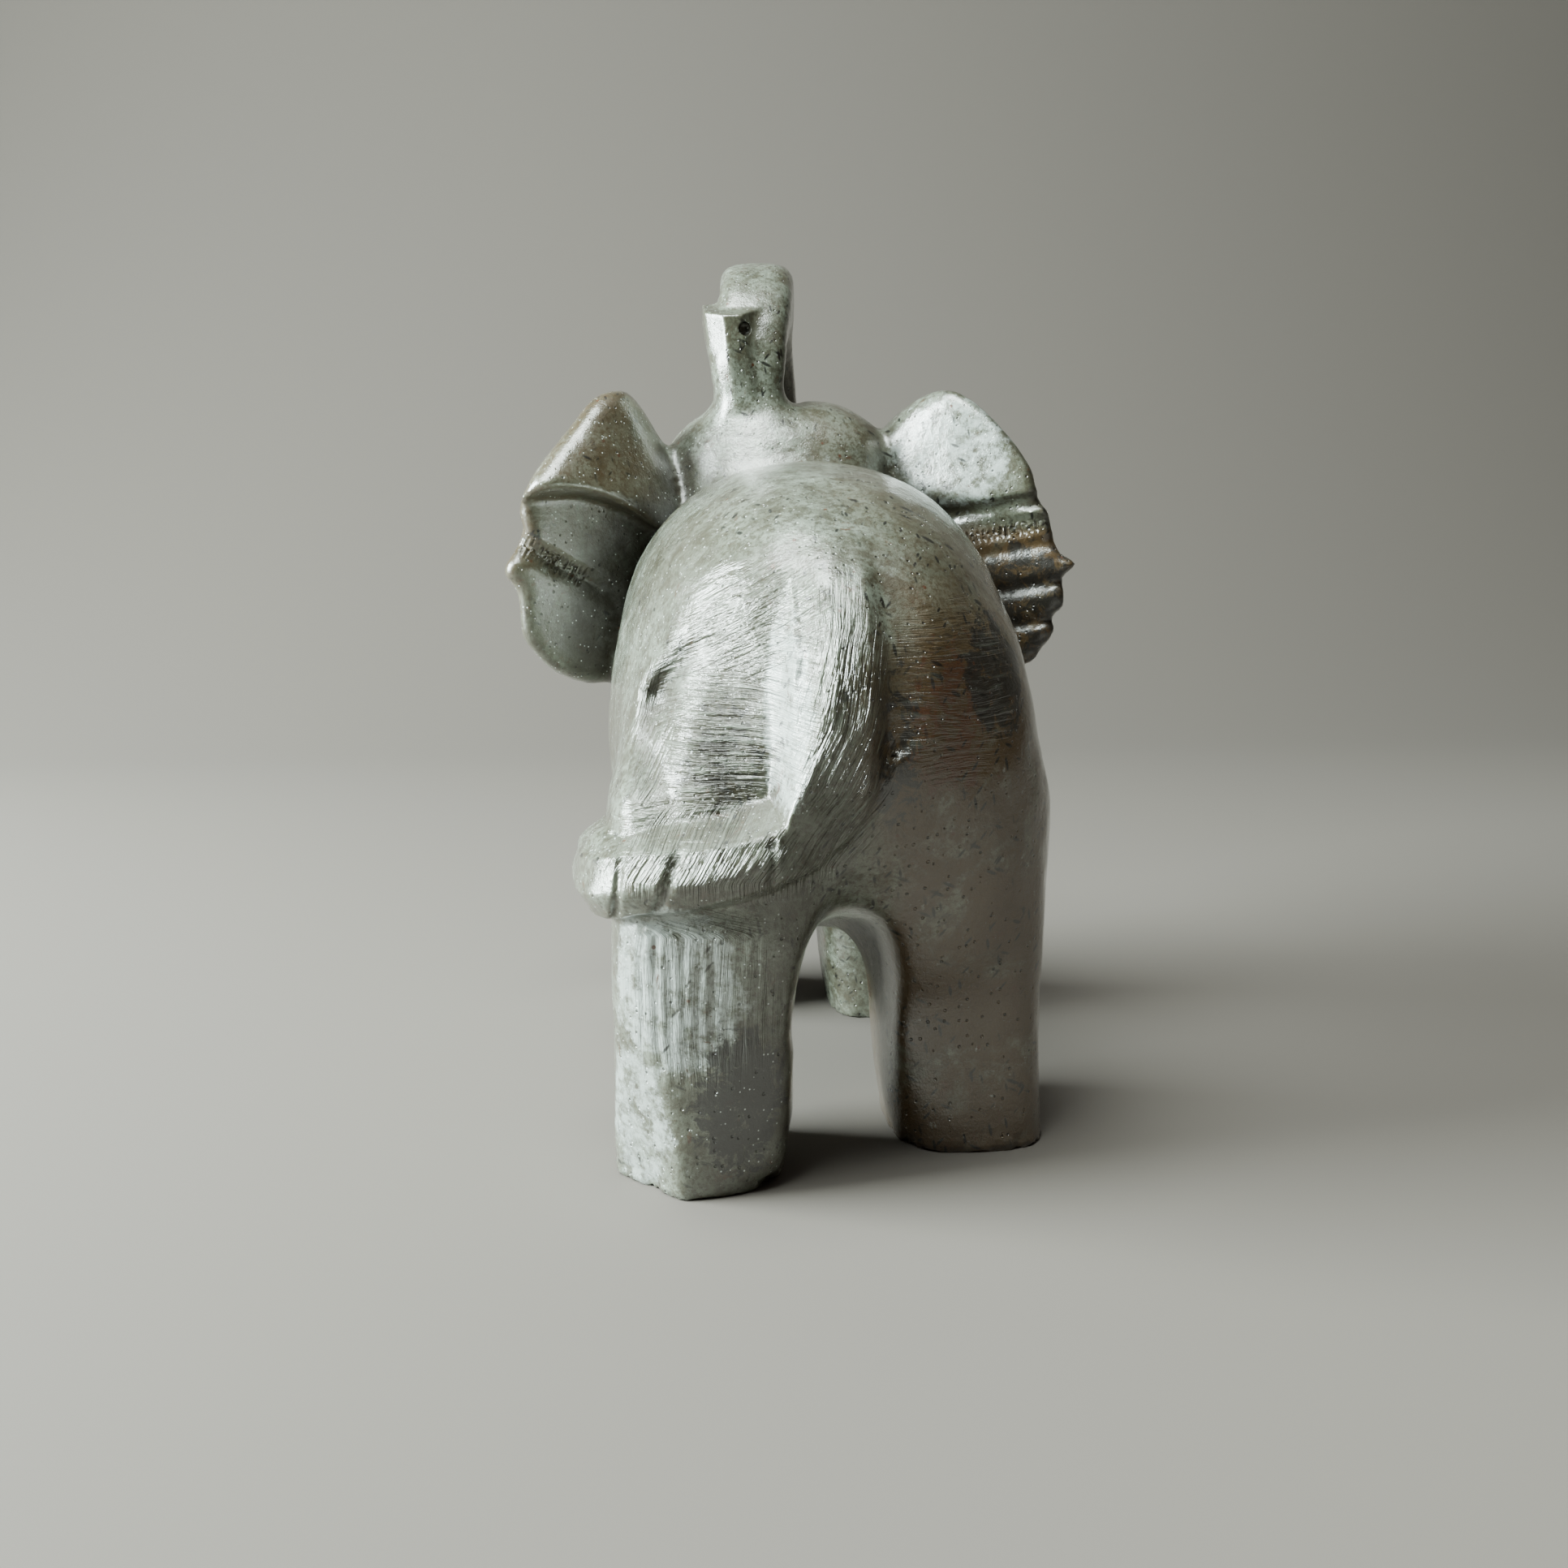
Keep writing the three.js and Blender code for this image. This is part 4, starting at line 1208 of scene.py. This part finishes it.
class Sheet:
    """Shorthand for a material's nodes."""

    def __init__(self, name: str) -> None:
        """Starts a material with a Principled shader.

        Args:
            name: The material's name.
        """
        self.material = bpy.data.materials.new(name)
        self.material.use_nodes = True
        self.tree = self.material.node_tree
        self.shader = self.tree.nodes["Principled BSDF"]
        self.place = self.tree.nodes.new("ShaderNodeTexCoord").outputs["Object"]

    def wire(self, value: Value, socket: Socket) -> None:
        """Joins another node's output to a socket, or sets the socket to a plain value."""
        if isinstance(value, Socket):
            self.tree.links.new(value, socket)
        else:
            socket.default_value = value

    def attribute(self, name: str, output: str = "Fac") -> Socket:
        """Output of a mesh attribute by name."""
        node = self.tree.nodes.new("ShaderNodeAttribute")
        node.attribute_name = name
        return node.outputs[output]

    def scaled(self, vector: Socket, scale: Triple, turn: float) -> Socket:
        """A vector turned about the elephant's long axis, in degrees, then stretched by three numbers."""
        turned = self.tree.nodes.new("ShaderNodeVectorRotate")
        turned.rotation_type = "Y_AXIS"
        turned.inputs["Angle"].default_value = math.radians(turn)
        self.wire(vector, turned.inputs["Vector"])
        node = self.tree.nodes.new("ShaderNodeMapping")
        node.inputs["Scale"].default_value = scale
        self.wire(turned.outputs["Vector"], node.inputs["Vector"])
        return node.outputs["Vector"]

    def parts(self, vector: Socket) -> list[Socket]:
        """The three numbers of a vector."""
        node = self.tree.nodes.new("ShaderNodeSeparateXYZ")
        self.wire(vector, node.inputs[0])
        return list(node.outputs)

    def combined(self, *values: Value) -> Socket:
        """A vector of three numbers."""
        node = self.tree.nodes.new("ShaderNodeCombineXYZ")
        for value, socket in zip(values, node.inputs):
            self.wire(value, socket)
        return node.outputs[0]

    def noise(
        self, vector: Socket, scale: float, detail: float = 3.0, rough: float = 0.55, twist: float = 0.0
    ) -> Socket:
        """Noise between 0 and 1.

        Args:
            vector: Where it is read.
            scale: Number of its coarsest waves to a metre.
            detail: Number of finer layers.
            rough: How strong each finer layer is.
            twist: How far it is distorted.

        Returns:
            The noise.
        """
        node = self.tree.nodes.new("ShaderNodeTexNoise")
        names = ("Vector", "Scale", "Detail", "Roughness", "Distortion")
        for name, value in zip(names, (vector, scale, detail, rough, twist)):
            self.wire(value, node.inputs[name])
        return node.outputs["Fac"]

    def specks(self, vector: Socket, scale: float, radius: float, share: float) -> Socket:
        """Specks at scattered points.

        Args:
            vector: Where they are read.
            scale: Number of cells to a metre, with one point in each.
            radius: Size of a speck, in cells.
            share: Share of the points that have a speck.

        Returns:
            1 inside a speck, 0 outside.
        """
        node = self.tree.nodes.new("ShaderNodeTexVoronoi")
        self.wire(vector, node.inputs["Vector"])
        node.inputs["Scale"].default_value = scale
        picked = self.math("LESS_THAN", self.parts(node.outputs["Color"])[0], share)
        return self.times(self.window(node.outputs["Distance"], radius, 0.5 * radius), picked)

    def math(self, operation: str, a: Value, b: Value = 0.0, clamp: bool = False) -> Socket:
        """One arithmetic step, kept between 0 and 1 where it is clamped."""
        node = self.tree.nodes.new("ShaderNodeMath")
        node.operation = operation
        node.use_clamp = clamp
        self.wire(a, node.inputs[0])
        self.wire(b, node.inputs[1])
        return node.outputs[0]

    def times(self, a: Value, b: Value) -> Socket:
        """Product of two numbers."""
        return self.math("MULTIPLY", a, b)

    def plus(self, a: Value, b: Value) -> Socket:
        """Sum of two numbers."""
        return self.math("ADD", a, b)

    def window(self, value: Socket, low: float, high: float) -> Socket:
        """Smooth rise from 0 at low to 1 at high, or a fall where low is the greater."""
        node = self.tree.nodes.new("ShaderNodeMapRange")
        node.interpolation_type = "SMOOTHSTEP"
        self.wire(value, node.inputs["Value"])
        node.inputs["From Min"].default_value = min(low, high)
        node.inputs["From Max"].default_value = max(low, high)
        node.inputs["To Min"].default_value = float(low > high)
        node.inputs["To Max"].default_value = float(low < high)
        return node.outputs["Result"]

    def mix(self, share: Value, a: Value, b: Value) -> Socket:
        """Colour between two colours."""
        node = self.tree.nodes.new("ShaderNodeMix")
        node.data_type = "RGBA"
        self.wire(share, node.inputs["Factor"])
        self.wire(a, node.inputs[MIX_FIRST])
        self.wire(b, node.inputs[MIX_SECOND])
        return node.outputs[MIX_RESULT]

    def bump(self, height: Socket, distance: float, strength: float, normal: Socket | None = None) -> Socket:
        """Bumped normal, over another where one is given. Its distance is in metres."""
        node = self.tree.nodes.new("ShaderNodeBump")
        node.inputs["Strength"].default_value = strength
        node.inputs["Distance"].default_value = distance
        self.wire(height, node.inputs["Height"])
        if normal is not None:
            self.wire(normal, node.inputs["Normal"])
        return node.outputs["Normal"]


@dataclass(frozen=True)
class Jasper:
    """Lacquered grey-green jasper, mottled and flecked, scored by the files, and browner and darker to the
    right: partly the stone's tone, partly painted shade.
    """

    green: Colour = (0.122, 0.133, 0.100, 1)
    pale: Colour = (0.250, 0.288, 0.238, 1)
    olive: Colour = (0.052, 0.047, 0.028, 1)
    # Brown of the stone, laid on more thickly as painted shade on the side away from the light.
    brown_and_shade: Colour = (0.082, 0.051, 0.022, 1)
    # Near-black of the stone's patches, also used as painted shade.
    charcoal_and_shade: Colour = (0.016, 0.016, 0.015, 1)
    rust: Colour = (0.092, 0.038, 0.018, 1)
    # Painted shade for creases, recesses and the gap between the legs.
    painted_shade: Colour = (0.028, 0.022, 0.015, 1)
    fleck: Colour = (0.008, 0.008, 0.007, 1)
    # Painted glints on the lit side.
    painted_glint: Colour = (0.66, 0.72, 0.70, 1)
    # Pale of scraped stone, also used as painted highlight on lit facets.
    scraped_and_highlight: Colour = (0.46, 0.52, 0.50, 1)
    least_rough: float = 0.24
    rough_spread: float = 0.2
    lacquer: float = 0.06
    worn_lacquer: float = 0.9
    stone_ior: float = 1.54
    lacquer_ior: float = 1.75
    glow: float = 0.08
    glow_colour: Triple = (1.0, 1.1, 0.9)
    glow_depth: float = 0.001
    furrow_depth: float = 0.00055
    pit_depth: float = 0.00009
    pit_strength: float = 0.8
    dust: float = 0.45
    dashes: tuple[Pair, ...] = ((12.0, 1250.0), (-38.0, 1450.0), (66.0, 1050.0))
    dash_stretch: Triple = (1.0, 0.4, 0.24)

    def _ground(self, s: Sheet) -> Socket:
        """Grey-green mottled with pale and olive clouds, browner where the mesh says so: partly the stone's
        own tone, partly painted shade on the side away from the light.

        Args:
            s: The material's sheet.

        Returns:
            The colour.
        """
        broad = s.noise(s.place, 62.0, 5.0, 0.62, 0.4)
        colour = s.mix(s.window(broad, 0.42, 0.62), self.green, self.pale)
        murk = s.noise(s.place, 110.0, 5.0, 0.72, 0.6)
        colour = s.mix(s.times(s.window(murk, 0.50, 0.66), 0.8), colour, self.olive)
        for scale, amount in ((520.0, 0.65), (1900.0, 0.75)):
            grit = s.noise(s.place, scale, 4.0, 0.75)
            colour = s.mix(s.times(s.window(grit, 0.46, 0.62), amount), colour, self.olive)
        patchy = s.window(s.noise(s.place, 150.0, 5.0, 0.7, 0.5), 0.20, 0.50)
        return s.mix(s.times(s.attribute("brown_and_shade"), patchy), colour, self.brown_and_shade)

    def _patches(self, s: Sheet, colour: Socket) -> Socket:
        """Scraped, rusty and near-black patches broken up into ragged specks, and painted shade in every
        crease; the pale patches are partly painted highlight, the near-black partly painted shade.

        Args:
            s: The material's sheet.
            colour: The stone's colour so far.

        Returns:
            The colour with the patches.
        """
        # Pale patches: at random they are the stone's own, and where the mesh's share lifts them on lit
        # facets they are painted highlight.
        bare = s.plus(s.noise(s.place, 700.0, 5.0, 0.75), s.times(s.attribute("scraped_and_highlight"), 0.30))
        colour = s.mix(s.times(s.window(bare, 0.60, 0.84), 0.85), colour, self.scraped_and_highlight)
        # Near-black patches are partly the stone's own and partly painted shade.
        stains = (("rust", self.rust, 560.0, 0.19), ("charcoal_and_shade", self.charcoal_and_shade, 520.0, 0.26))
        for name, tint, scale, lift in stains:
            share = s.plus(s.noise(s.place, scale, 4.0, 0.8, 0.8), s.times(s.attribute(name), lift))
            colour = s.mix(s.times(s.window(share, 0.61, 0.72), 0.9), colour, tint)
        # Painted shade: darkens creases, recesses, the hollow, the gap between the legs and the undersides.
        ragged = s.plus(s.noise(s.place, 800.0, 4.0, 0.7), 0.35)
        painted_shade = s.math("MULTIPLY", s.attribute("crease"), ragged, clamp=True)
        return s.mix(painted_shade, colour, self.painted_shade)

    def _flecks(self, s: Sheet, colour: Socket) -> Socket:
        """Black dashes in swarms that thicken to the right, black and ochre specks, and pale painted glints
        on the left, which faces the light.

        Each dash is a stretched speck.

        Args:
            s: The material's sheet.
            colour: The stone's colour so far.

        Returns:
            The colour with the flecks.
        """
        rightwards = s.times(s.window(s.parts(s.place)[0], -0.008, 0.004), 0.10)
        swarm = s.window(s.plus(s.noise(s.place, 170.0, 3.0, 0.6), rightwards), 0.48, 0.61)
        for turn, scale in self.dashes:
            dash = s.specks(s.scaled(s.place, self.dash_stretch, turn), scale, 0.23, 0.8)
            colour = s.mix(s.times(s.times(dash, swarm), 0.92), colour, self.fleck)
        colour = s.mix(s.times(s.specks(s.place, 1500.0, 0.22, 0.25), 0.8), colour, self.fleck)
        colour = s.mix(s.specks(s.place, 420.0, 0.10, 0.5), colour, self.rust)
        # Painted glints: pale specks kept to the left side, which faces the light.
        leftwards = s.window(s.parts(s.place)[0], 0.004, -0.010)
        painted_glints = s.times(s.specks(s.place, 2600.0, 0.26, 0.16), leftwards)
        return s.mix(painted_glints, colour, self.painted_glint)

    @staticmethod
    def _furrows(s: Sheet) -> tuple[Socket, Socket]:
        """Fine furrows of each way, as stretched noise: their height, and how much pale dust lies in them.

        The height is the noise less its mean, with a scratch where a second noise passes its own mean.

        Args:
            s: The material's sheet.

        Returns:
            The height and the dust, both as node outputs.
        """
        x, _, z = s.parts(s.place)
        comb = s.parts(s.attribute("comb", "Vector"))
        height = 0.0
        dust = 0.0
        ways = ((Stroke.UPRIGHT, z, 90.0), (Stroke.LEVEL, x, 120.0), (Stroke.SLANT, x, 140.0))
        for way, along, stretch in ways:
            spread = s.combined(comb[way.value], s.times(along, stretch), 0.37 * way.value)
            grain = s.math("SUBTRACT", s.noise(spread, 2.2, 3.0, 0.7), 0.5)
            straight = s.combined(comb[way.value], s.times(along, 25.0), 5.1 + way.value)
            wander = s.math("ABSOLUTE", s.math("SUBTRACT", s.noise(straight, 1.3, 1.0, 0.5), 0.5))
            broken = s.window(s.noise(spread, 1.2, 2.0), 0.45, 0.55)
            scratch = s.times(s.times(s.window(wander, 0.030, 0.0), broken), -0.25)
            share = s.attribute(way.name.lower())
            height = s.plus(height, s.times(s.plus(grain, scratch), share))
            dust = s.math("ADD", dust, s.times(s.window(grain, 0.03, 0.15), share), clamp=True)
        return height, dust

    def material(self) -> bpy.types.Material:
        """Builds the stone's nodes.

        Returns:
            The material.
        """
        s = Sheet("jasper")
        colour = self._flecks(s, self._patches(s, self._ground(s)))
        furrows, dust = self._furrows(s)
        rough = s.times(s.noise(s.place, 700.0), self.rough_spread)
        pits = s.times(s.specks(s.place, 1500.0, 0.25, 0.35), -1.0)
        grain = s.plus(s.noise(s.place, 1500.0, 4.0, 0.75), pits)
        normal = s.bump(grain, self.pit_depth, self.pit_strength, s.bump(furrows, self.furrow_depth, 1.0))
        settings = {
            "Base Color": s.mix(s.times(dust, self.dust), colour, self.pale),
            "Roughness": s.math("ADD", rough, self.least_rough, clamp=True),
            "Normal": normal,
            "Coat Normal": normal,
            "Coat Weight": s.math("SUBTRACT", 1.0, s.times(s.attribute("crease"), self.worn_lacquer)),
            "Coat IOR": self.lacquer_ior,
            "Coat Roughness": self.lacquer,
            "IOR": self.stone_ior,
            "Subsurface Weight": self.glow,
            "Subsurface Radius": self.glow_colour,
            "Subsurface Scale": self.glow_depth,
        }
        for name, value in settings.items():
            s.wire(value, s.shader.inputs[name])
        return s.material


@dataclass(frozen=True)
class Tints:
    """Where the stone changes colour, in patches, with painted shade in creases and on the side away from the
    light, and painted highlights on lit facets.
    """

    rust: tuple[Patch, ...] = (Patch((8.0, -11.0, 38.5), (5.0, 8.0, 8.5), 1.0, (1.15, 0.4), 0.0),)
    # Dark patches: the left leg's is the stone's own; the others are painted shade on the shaded right flank,
    # beside the tail, in the hollow and on the right ear's lower pleats under the body's shadow.
    charcoal_and_shade: tuple[Patch, ...] = (
        Patch((-8.8, -12.5, 8.5), (4.8, 6.0, 8.0), 1.0, (1.1, 0.5), 0.0),
        Patch((12.5, -8.0, 42.0), (4.0, 9.0, 6.5), 1.0, (1.1, 0.5), 0.0),
        Patch((3.5, -13.0, 36.0), (2.6, 6.0, 9.0), 0.7, (1.1, 0.5), 0.0),
        Patch((-10.5, -13.0, 37.0), (4.6, 6.0, 7.0), 0.6, (1.1, 0.5), 0.0),
        Patch((27.0, 37.0, 45.0), (9.0, 9.0, 10.0), 0.8, (1.1, 0.5), 0.0),
    )
    # Painted highlight, partly pale scraped stone: the tail's left facet, the hollow's left rim, the left leg
    # and the right ear's upper lobe, all facing the light.
    scraped_and_highlight: tuple[Patch, ...] = (
        Patch((-5.2, -14.0, 39.5), (2.0, 8.0, 9.5)),
        Patch((-15.4, -12.0, 40.5), (1.6, 7.0, 6.0), 0.7),
        Patch((-14.0, -13.0, 18.0), (6.0, 9.0, 8.0), 0.9),
        Patch((-17.5, -11.0, 6.0), (3.2, 8.0, 8.0), 0.8),
        Patch((19.0, 40.0, 61.5), (8.5, 9.0, 7.5), 0.8),
    )
    # Painted shade over the recessed hollow, and the reaches and strengths over which creases and gaps get
    # painted shade.
    hollow: Patch = Patch((-10.4, -13.0, 37.0), (4.6, 7.0, 7.5), 0.65, (1.15, 0.5), 0.0)
    creases: tuple[Pair, ...] = ((0.7, 0.65), (1.8, 0.75), (6.0, 0.85))

    def painted_shade(self, form: Form, p: Array, outward: Array) -> Array:
        """Painted shade in creases, recesses and gaps: how much nearer the stone is, a reach out, than over a
        plane.

        Args:
            form: The carving's field.
            p: Points on the surface.
            outward: The outward direction at each.

        Returns:
            The share of painted shade at each point.
        """
        total = self.hollow.share(p)
        for reach, strength in self.creases:
            share = 1 - form(p + reach * outward) / reach
            total = np.maximum(total, strength * ramp(share, 0.2, 0.9))
        return total

    @staticmethod
    def brown_and_shade(p: Array) -> Array:
        """Brown tone that is partly the stone's own and partly painted shade: the right side away from the
        light, weaker higher up, the left ear's fold and the right ear's pleats in the body's shadow.

        The right ear's lobe, which faces the light, stays pale.

        Args:
            p: Points in mm.

        Returns:
            The share at each point.
        """
        x, y, z = p.T
        # Painted shade, partly the stone's own tone: the right side, away from the light.
        body = ramp(x + 2.5 * cloud(p, 7.0, 31), -1.5, 5.0) * (1 - 0.7 * ramp(z, 42, 54))
        lobe = ramp(x, 9, 12) * ramp(z, 53.5, 55) * ramp(-y, -48, -45)
        fold = ramp(-x, 12, 15) * ramp(y, 26, 30) * ramp(z - 0.5 * x, 58, 66) * 0.6
        rear = np.maximum(ramp(-y, -28, -12), ramp(z, 42, 52))
        pleats = ramp(x, 13, 16) * ramp(y, 26, 30) * ramp(-z, -54.5, -53)
        return np.maximum(np.maximum(body * rear * (1 - lobe), fold), pleats)

    def shares(self, form: Form, p: Array, outward: Array) -> dict[str, Array]:
        """Share of every tint at each point, by the name that the material reads.

        Args:
            form: The carving's field.
            p: Points on the surface.
            outward: The outward direction at each.

        Returns:
            The shares.
        """
        return {
            "rust": strongest(self.rust, p),
            "charcoal_and_shade": strongest(self.charcoal_and_shade, p),
            "scraped_and_highlight": strongest(self.scraped_and_highlight, p),
            "brown_and_shade": self.brown_and_shade(p),
            # Painted shade in creases and gaps; the same share also thins the lacquer there.
            "crease": self.painted_shade(form, p, outward),
        }


@dataclass(frozen=True)
class Zone:
    """Part of the carving where the mesh is finer: a box, or only a sloping band of it."""

    low: Triple
    high: Triple
    band_middle: Pair = (0.0, 0.0)
    band_slope: float = 0.0
    band_half: float = math.inf

    def holds(self, p: Array) -> Array:
        """True for each point inside."""
        inside = ((p > self.low) & (p < self.high)).all(axis=1)
        over = p[:, 2] - self.band_middle[1] - self.band_slope * (p[:, 0] - self.band_middle[0])
        return inside & (np.abs(over) < self.band_half)


@dataclass(frozen=True)
class Carving:
    """The finished stone: the elephant's surface with its file marks, dressed in jasper."""

    elephant: Elephant = Elephant()
    marks: FileMarks = FileMarks()
    tints: Tints = Tints()
    finish: Jasper = Jasper()
    worked: tuple[Zone, ...] = (
        Zone((-math.inf, -math.inf, 21), (7.5, -1.5, 54)),
        Zone((-math.inf, -math.inf, 8), (-4, -8, math.inf)),
        Zone((-10.5, -math.inf, 61), (2.5, 49, 79)),
    )
    gouged: tuple[Zone, ...] = (
        Zone((-29.5, -math.inf, -math.inf), (-20.5, 46, math.inf), (-22, 48.6), -0.58, 1.6),
        Zone((17.5, -math.inf, -math.inf), (28.5, 46, math.inf), (19, 52.6), 0.2, 1.2),
    )
    nostril_y: Pair = (38, 43.2)
    nostril_reach: float = 1.3

    def _finest(self, p: Array) -> Array:
        """Where the mesh is cut twice: the rows of gouges on the ears, and the nostril.

        Args:
            p: The triangles' middles.

        Returns:
            True for each triangle to cut.
        """
        x, _, z = self.elephant.trunk_end.nostril
        away = np.hypot(p[:, 0] - x, p[:, 2] - z)
        low, high = self.nostril_y
        nostril = (p[:, 1] > low) & (p[:, 1] < high) & (away < self.nostril_reach)
        return np.any([zone.holds(p) for zone in self.gouged], axis=0) | nostril

    def _worked(self, p: Array) -> Array:
        """Where the mesh is cut at least once: the rump, the left leg and the trunk's end too."""
        return np.any([zone.holds(p) for zone in self.worked], axis=0) | self._finest(p)

    def _surface(self) -> tuple[Surface, Array]:
        """Draws the plain surface, refines it in two steps and settles it.

        Returns:
            The surface, and the outward direction at each vertex.
        """
        surface = Surface()
        surface.draw(self.elephant.depth)
        surface.settle(self.elephant.depth)
        for chosen in (self._worked, self._finest):
            surface.refine(chosen(surface.vertices[surface.triangles].mean(axis=1)))
        return surface, surface.settle(self.elephant.depth)

    @staticmethod
    def _placed(p: Array) -> Array:
        """Points moved from the carver's frame to the row's, so that their box has the CAD solid's middle.

        Args:
            p: Points in mm.

        Returns:
            The points in metres.
        """
        low, high = (np.array(corner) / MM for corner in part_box(NODE))
        shift = (low + high - p.min(axis=0) - p.max(axis=0)) / 2
        shift[2] = low[2]
        return (p + shift) * MM

    def build(self) -> bpy.types.Object:
        """Lays the marks on the surface and puts it, its tints and its combs into a mesh.

        Returns:
            The carving's object, placed as the CAD solid is.
        """
        surface, outward = self._surface()
        p = surface.vertices
        comb = self.marks.comb(p)
        tints = self.tints.shares(self.elephant.depth, p, outward)
        for way in Stroke:
            shares = [one.fine * one.share(p, outward) for one in self.marks.strokes if one.way is way]
            tints[way.name.lower()] = np.max(shares, axis=0)
        p = p + outward * self.marks.relief(p, outward)[:, None]
        p[:, 2] = np.maximum(p[:, 2], 0)
        mesh = bpy.data.meshes.new("elephant stone")
        mesh.from_pydata(self._placed(p).tolist(), [], surface.triangles.tolist())
        mesh.polygons.foreach_set("use_smooth", np.ones(len(mesh.polygons), bool))
        for name, values in tints.items():
            layer = mesh.attributes.new(name, "FLOAT", "POINT")
            layer.data.foreach_set("value", values.astype(np.float32))
        layer = mesh.attributes.new("comb", "FLOAT_VECTOR", "POINT")
        layer.data.foreach_set("vector", comb.astype(np.float32).ravel())
        mesh.materials.append(self.finish.material())
        mesh.update()
        stone = bpy.data.objects.new("jasper_elephant", mesh)
        bpy.context.scene.collection.objects.link(stone)
        log.info("%s: %d vertices, %d triangles", stone.name, len(p), len(surface.triangles))
        return stone


@dataclass(frozen=True)
class SoftLight:
    """Square light that looks at the carving. Place and size are in metres, the power in watts."""

    name: str
    place: Triple
    size: float
    power: float
    tint: Triple
    target: Triple = (0.0, 0.0, 0.035)

    def hang(self) -> None:
        """Puts the light into the scene."""
        data = bpy.data.lights.new(self.name, "AREA")
        data.size = self.size
        data.energy = self.power
        data.color = self.tint
        lamp = bpy.data.objects.new(self.name, data)
        lamp.location = self.place
        ahead = Vector(self.target) - Vector(self.place)
        lamp.rotation_euler = ahead.to_track_quat("-Z", "Y").to_euler()
        bpy.context.scene.collection.objects.link(lamp)


@dataclass(frozen=True)
class Studio:
    """Camera where the photographer held it, a soft light from the left, fainter ones and the floor."""

    camera_place: Triple = (-17.0, -133.0, 53.0)
    yaw: float = 5.5
    pitch: float = 9.0
    lens: float = 36.04
    sensor: float = 36.0
    floor_half: float = 1.5
    bend_start: float = 0.22
    bend_radius: float = 0.25
    bend_steps: int = 24
    floor_colour: Colour = (0.140, 0.125, 0.112, 1)
    floor_roughness: float = 0.85
    room_colour: Colour = (0.50, 0.41, 0.29, 1)
    room_strength: float = 0.09
    nearest: float = 0.01
    lights: tuple[SoftLight, ...] = (
        SoftLight("window", (-0.43, -0.015, 0.20), 0.28, 15.0, (0.88, 1.0, 0.965)),
        SoftLight("sky", (-0.12, -0.09, 0.46), 0.26, 4.4, (0.90, 1.0, 0.95)),
        SoftLight("ceiling", (0.0, 0.1, 1.6), 2.4, 7.0, (1.0, 0.97, 0.92)),
    )

    def camera(self, shift: Triple) -> None:
        """Sets the camera: yaw turns it to the elephant's right, pitch tips it down.

        Args:
            shift: From the carver's frame to the row's frame, in mm.
        """
        data = bpy.data.cameras.new("photographer's camera")
        data.lens = self.lens
        data.sensor_width = self.sensor
        data.clip_start = self.nearest
        yaw, pitch = math.radians(self.yaw), math.radians(self.pitch)
        ahead = Vector((math.sin(yaw) * math.cos(pitch), math.cos(yaw) * math.cos(pitch), -math.sin(pitch)))
        camera = bpy.data.objects.new("photographer's camera", data)
        camera.location = Vector(self.camera_place) * MM + Vector(shift) * MM
        camera.rotation_euler = ahead.to_track_quat("-Z", "Y").to_euler()
        bpy.context.scene.collection.objects.link(camera)
        bpy.context.scene.camera = camera

    def floor(self) -> None:
        """Plain pale floor that bends up behind: a level run, a quarter circle and an upright run."""
        angle = np.linspace(0, np.pi / 2, self.bend_steps + 1)
        y = np.concatenate([[-self.floor_half], self.bend_start + self.bend_radius * np.sin(angle)])
        z = np.concatenate([[0.0], self.bend_radius * (1 - np.cos(angle))])
        y, z = np.append(y, y[-1]), np.append(z, self.floor_half)
        rows = [np.stack([np.full(len(y), side * self.floor_half), y, z], axis=1) for side in (-1, 1)]
        first = np.arange(len(y) - 1)
        faces = np.stack([first, first + len(y), first + len(y) + 1, first + 1], axis=1)
        mesh = bpy.data.meshes.new("floor")
        mesh.from_pydata(np.vstack(rows).tolist(), [], faces.tolist())
        mesh.polygons.foreach_set("use_smooth", np.ones(len(mesh.polygons), bool))
        sheet = Sheet("floor paper")
        sheet.shader.inputs["Base Color"].default_value = self.floor_colour
        sheet.shader.inputs["Roughness"].default_value = self.floor_roughness
        mesh.materials.append(sheet.material)
        floor = bpy.data.objects.new("floor", mesh)
        bpy.context.scene.collection.objects.link(floor)

    def build(self, shift: Triple) -> None:
        """Sets the whole studio up.

        Args:
            shift: From the carver's frame to the row's frame, in mm.
        """
        self.camera(shift)
        for light in self.lights:
            light.hang()
        world = bpy.data.worlds.new("room")
        world.use_nodes = True
        background = world.node_tree.nodes["Background"]
        background.inputs["Color"].default_value = self.room_colour
        background.inputs["Strength"].default_value = self.room_strength
        bpy.context.scene.world = world
        self.floor()


def corners(box: tuple[Vector, Vector]) -> list[list[float]]:
    """A box's two corners as plain lists of numbers."""
    return [[float(v) for v in corner] for corner in box]


def main() -> None:
    """Loads the solid, builds the carving in its place, hides the solid and builds the studio."""
    logging.basicConfig(level=logging.INFO, format="%(name)s: %(message)s")
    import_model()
    stone = Carving().build()
    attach(stone, "root")
    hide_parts(NODE)
    Studio().build(ROW_SHIFT)


if __name__ == "__main__":
    main()
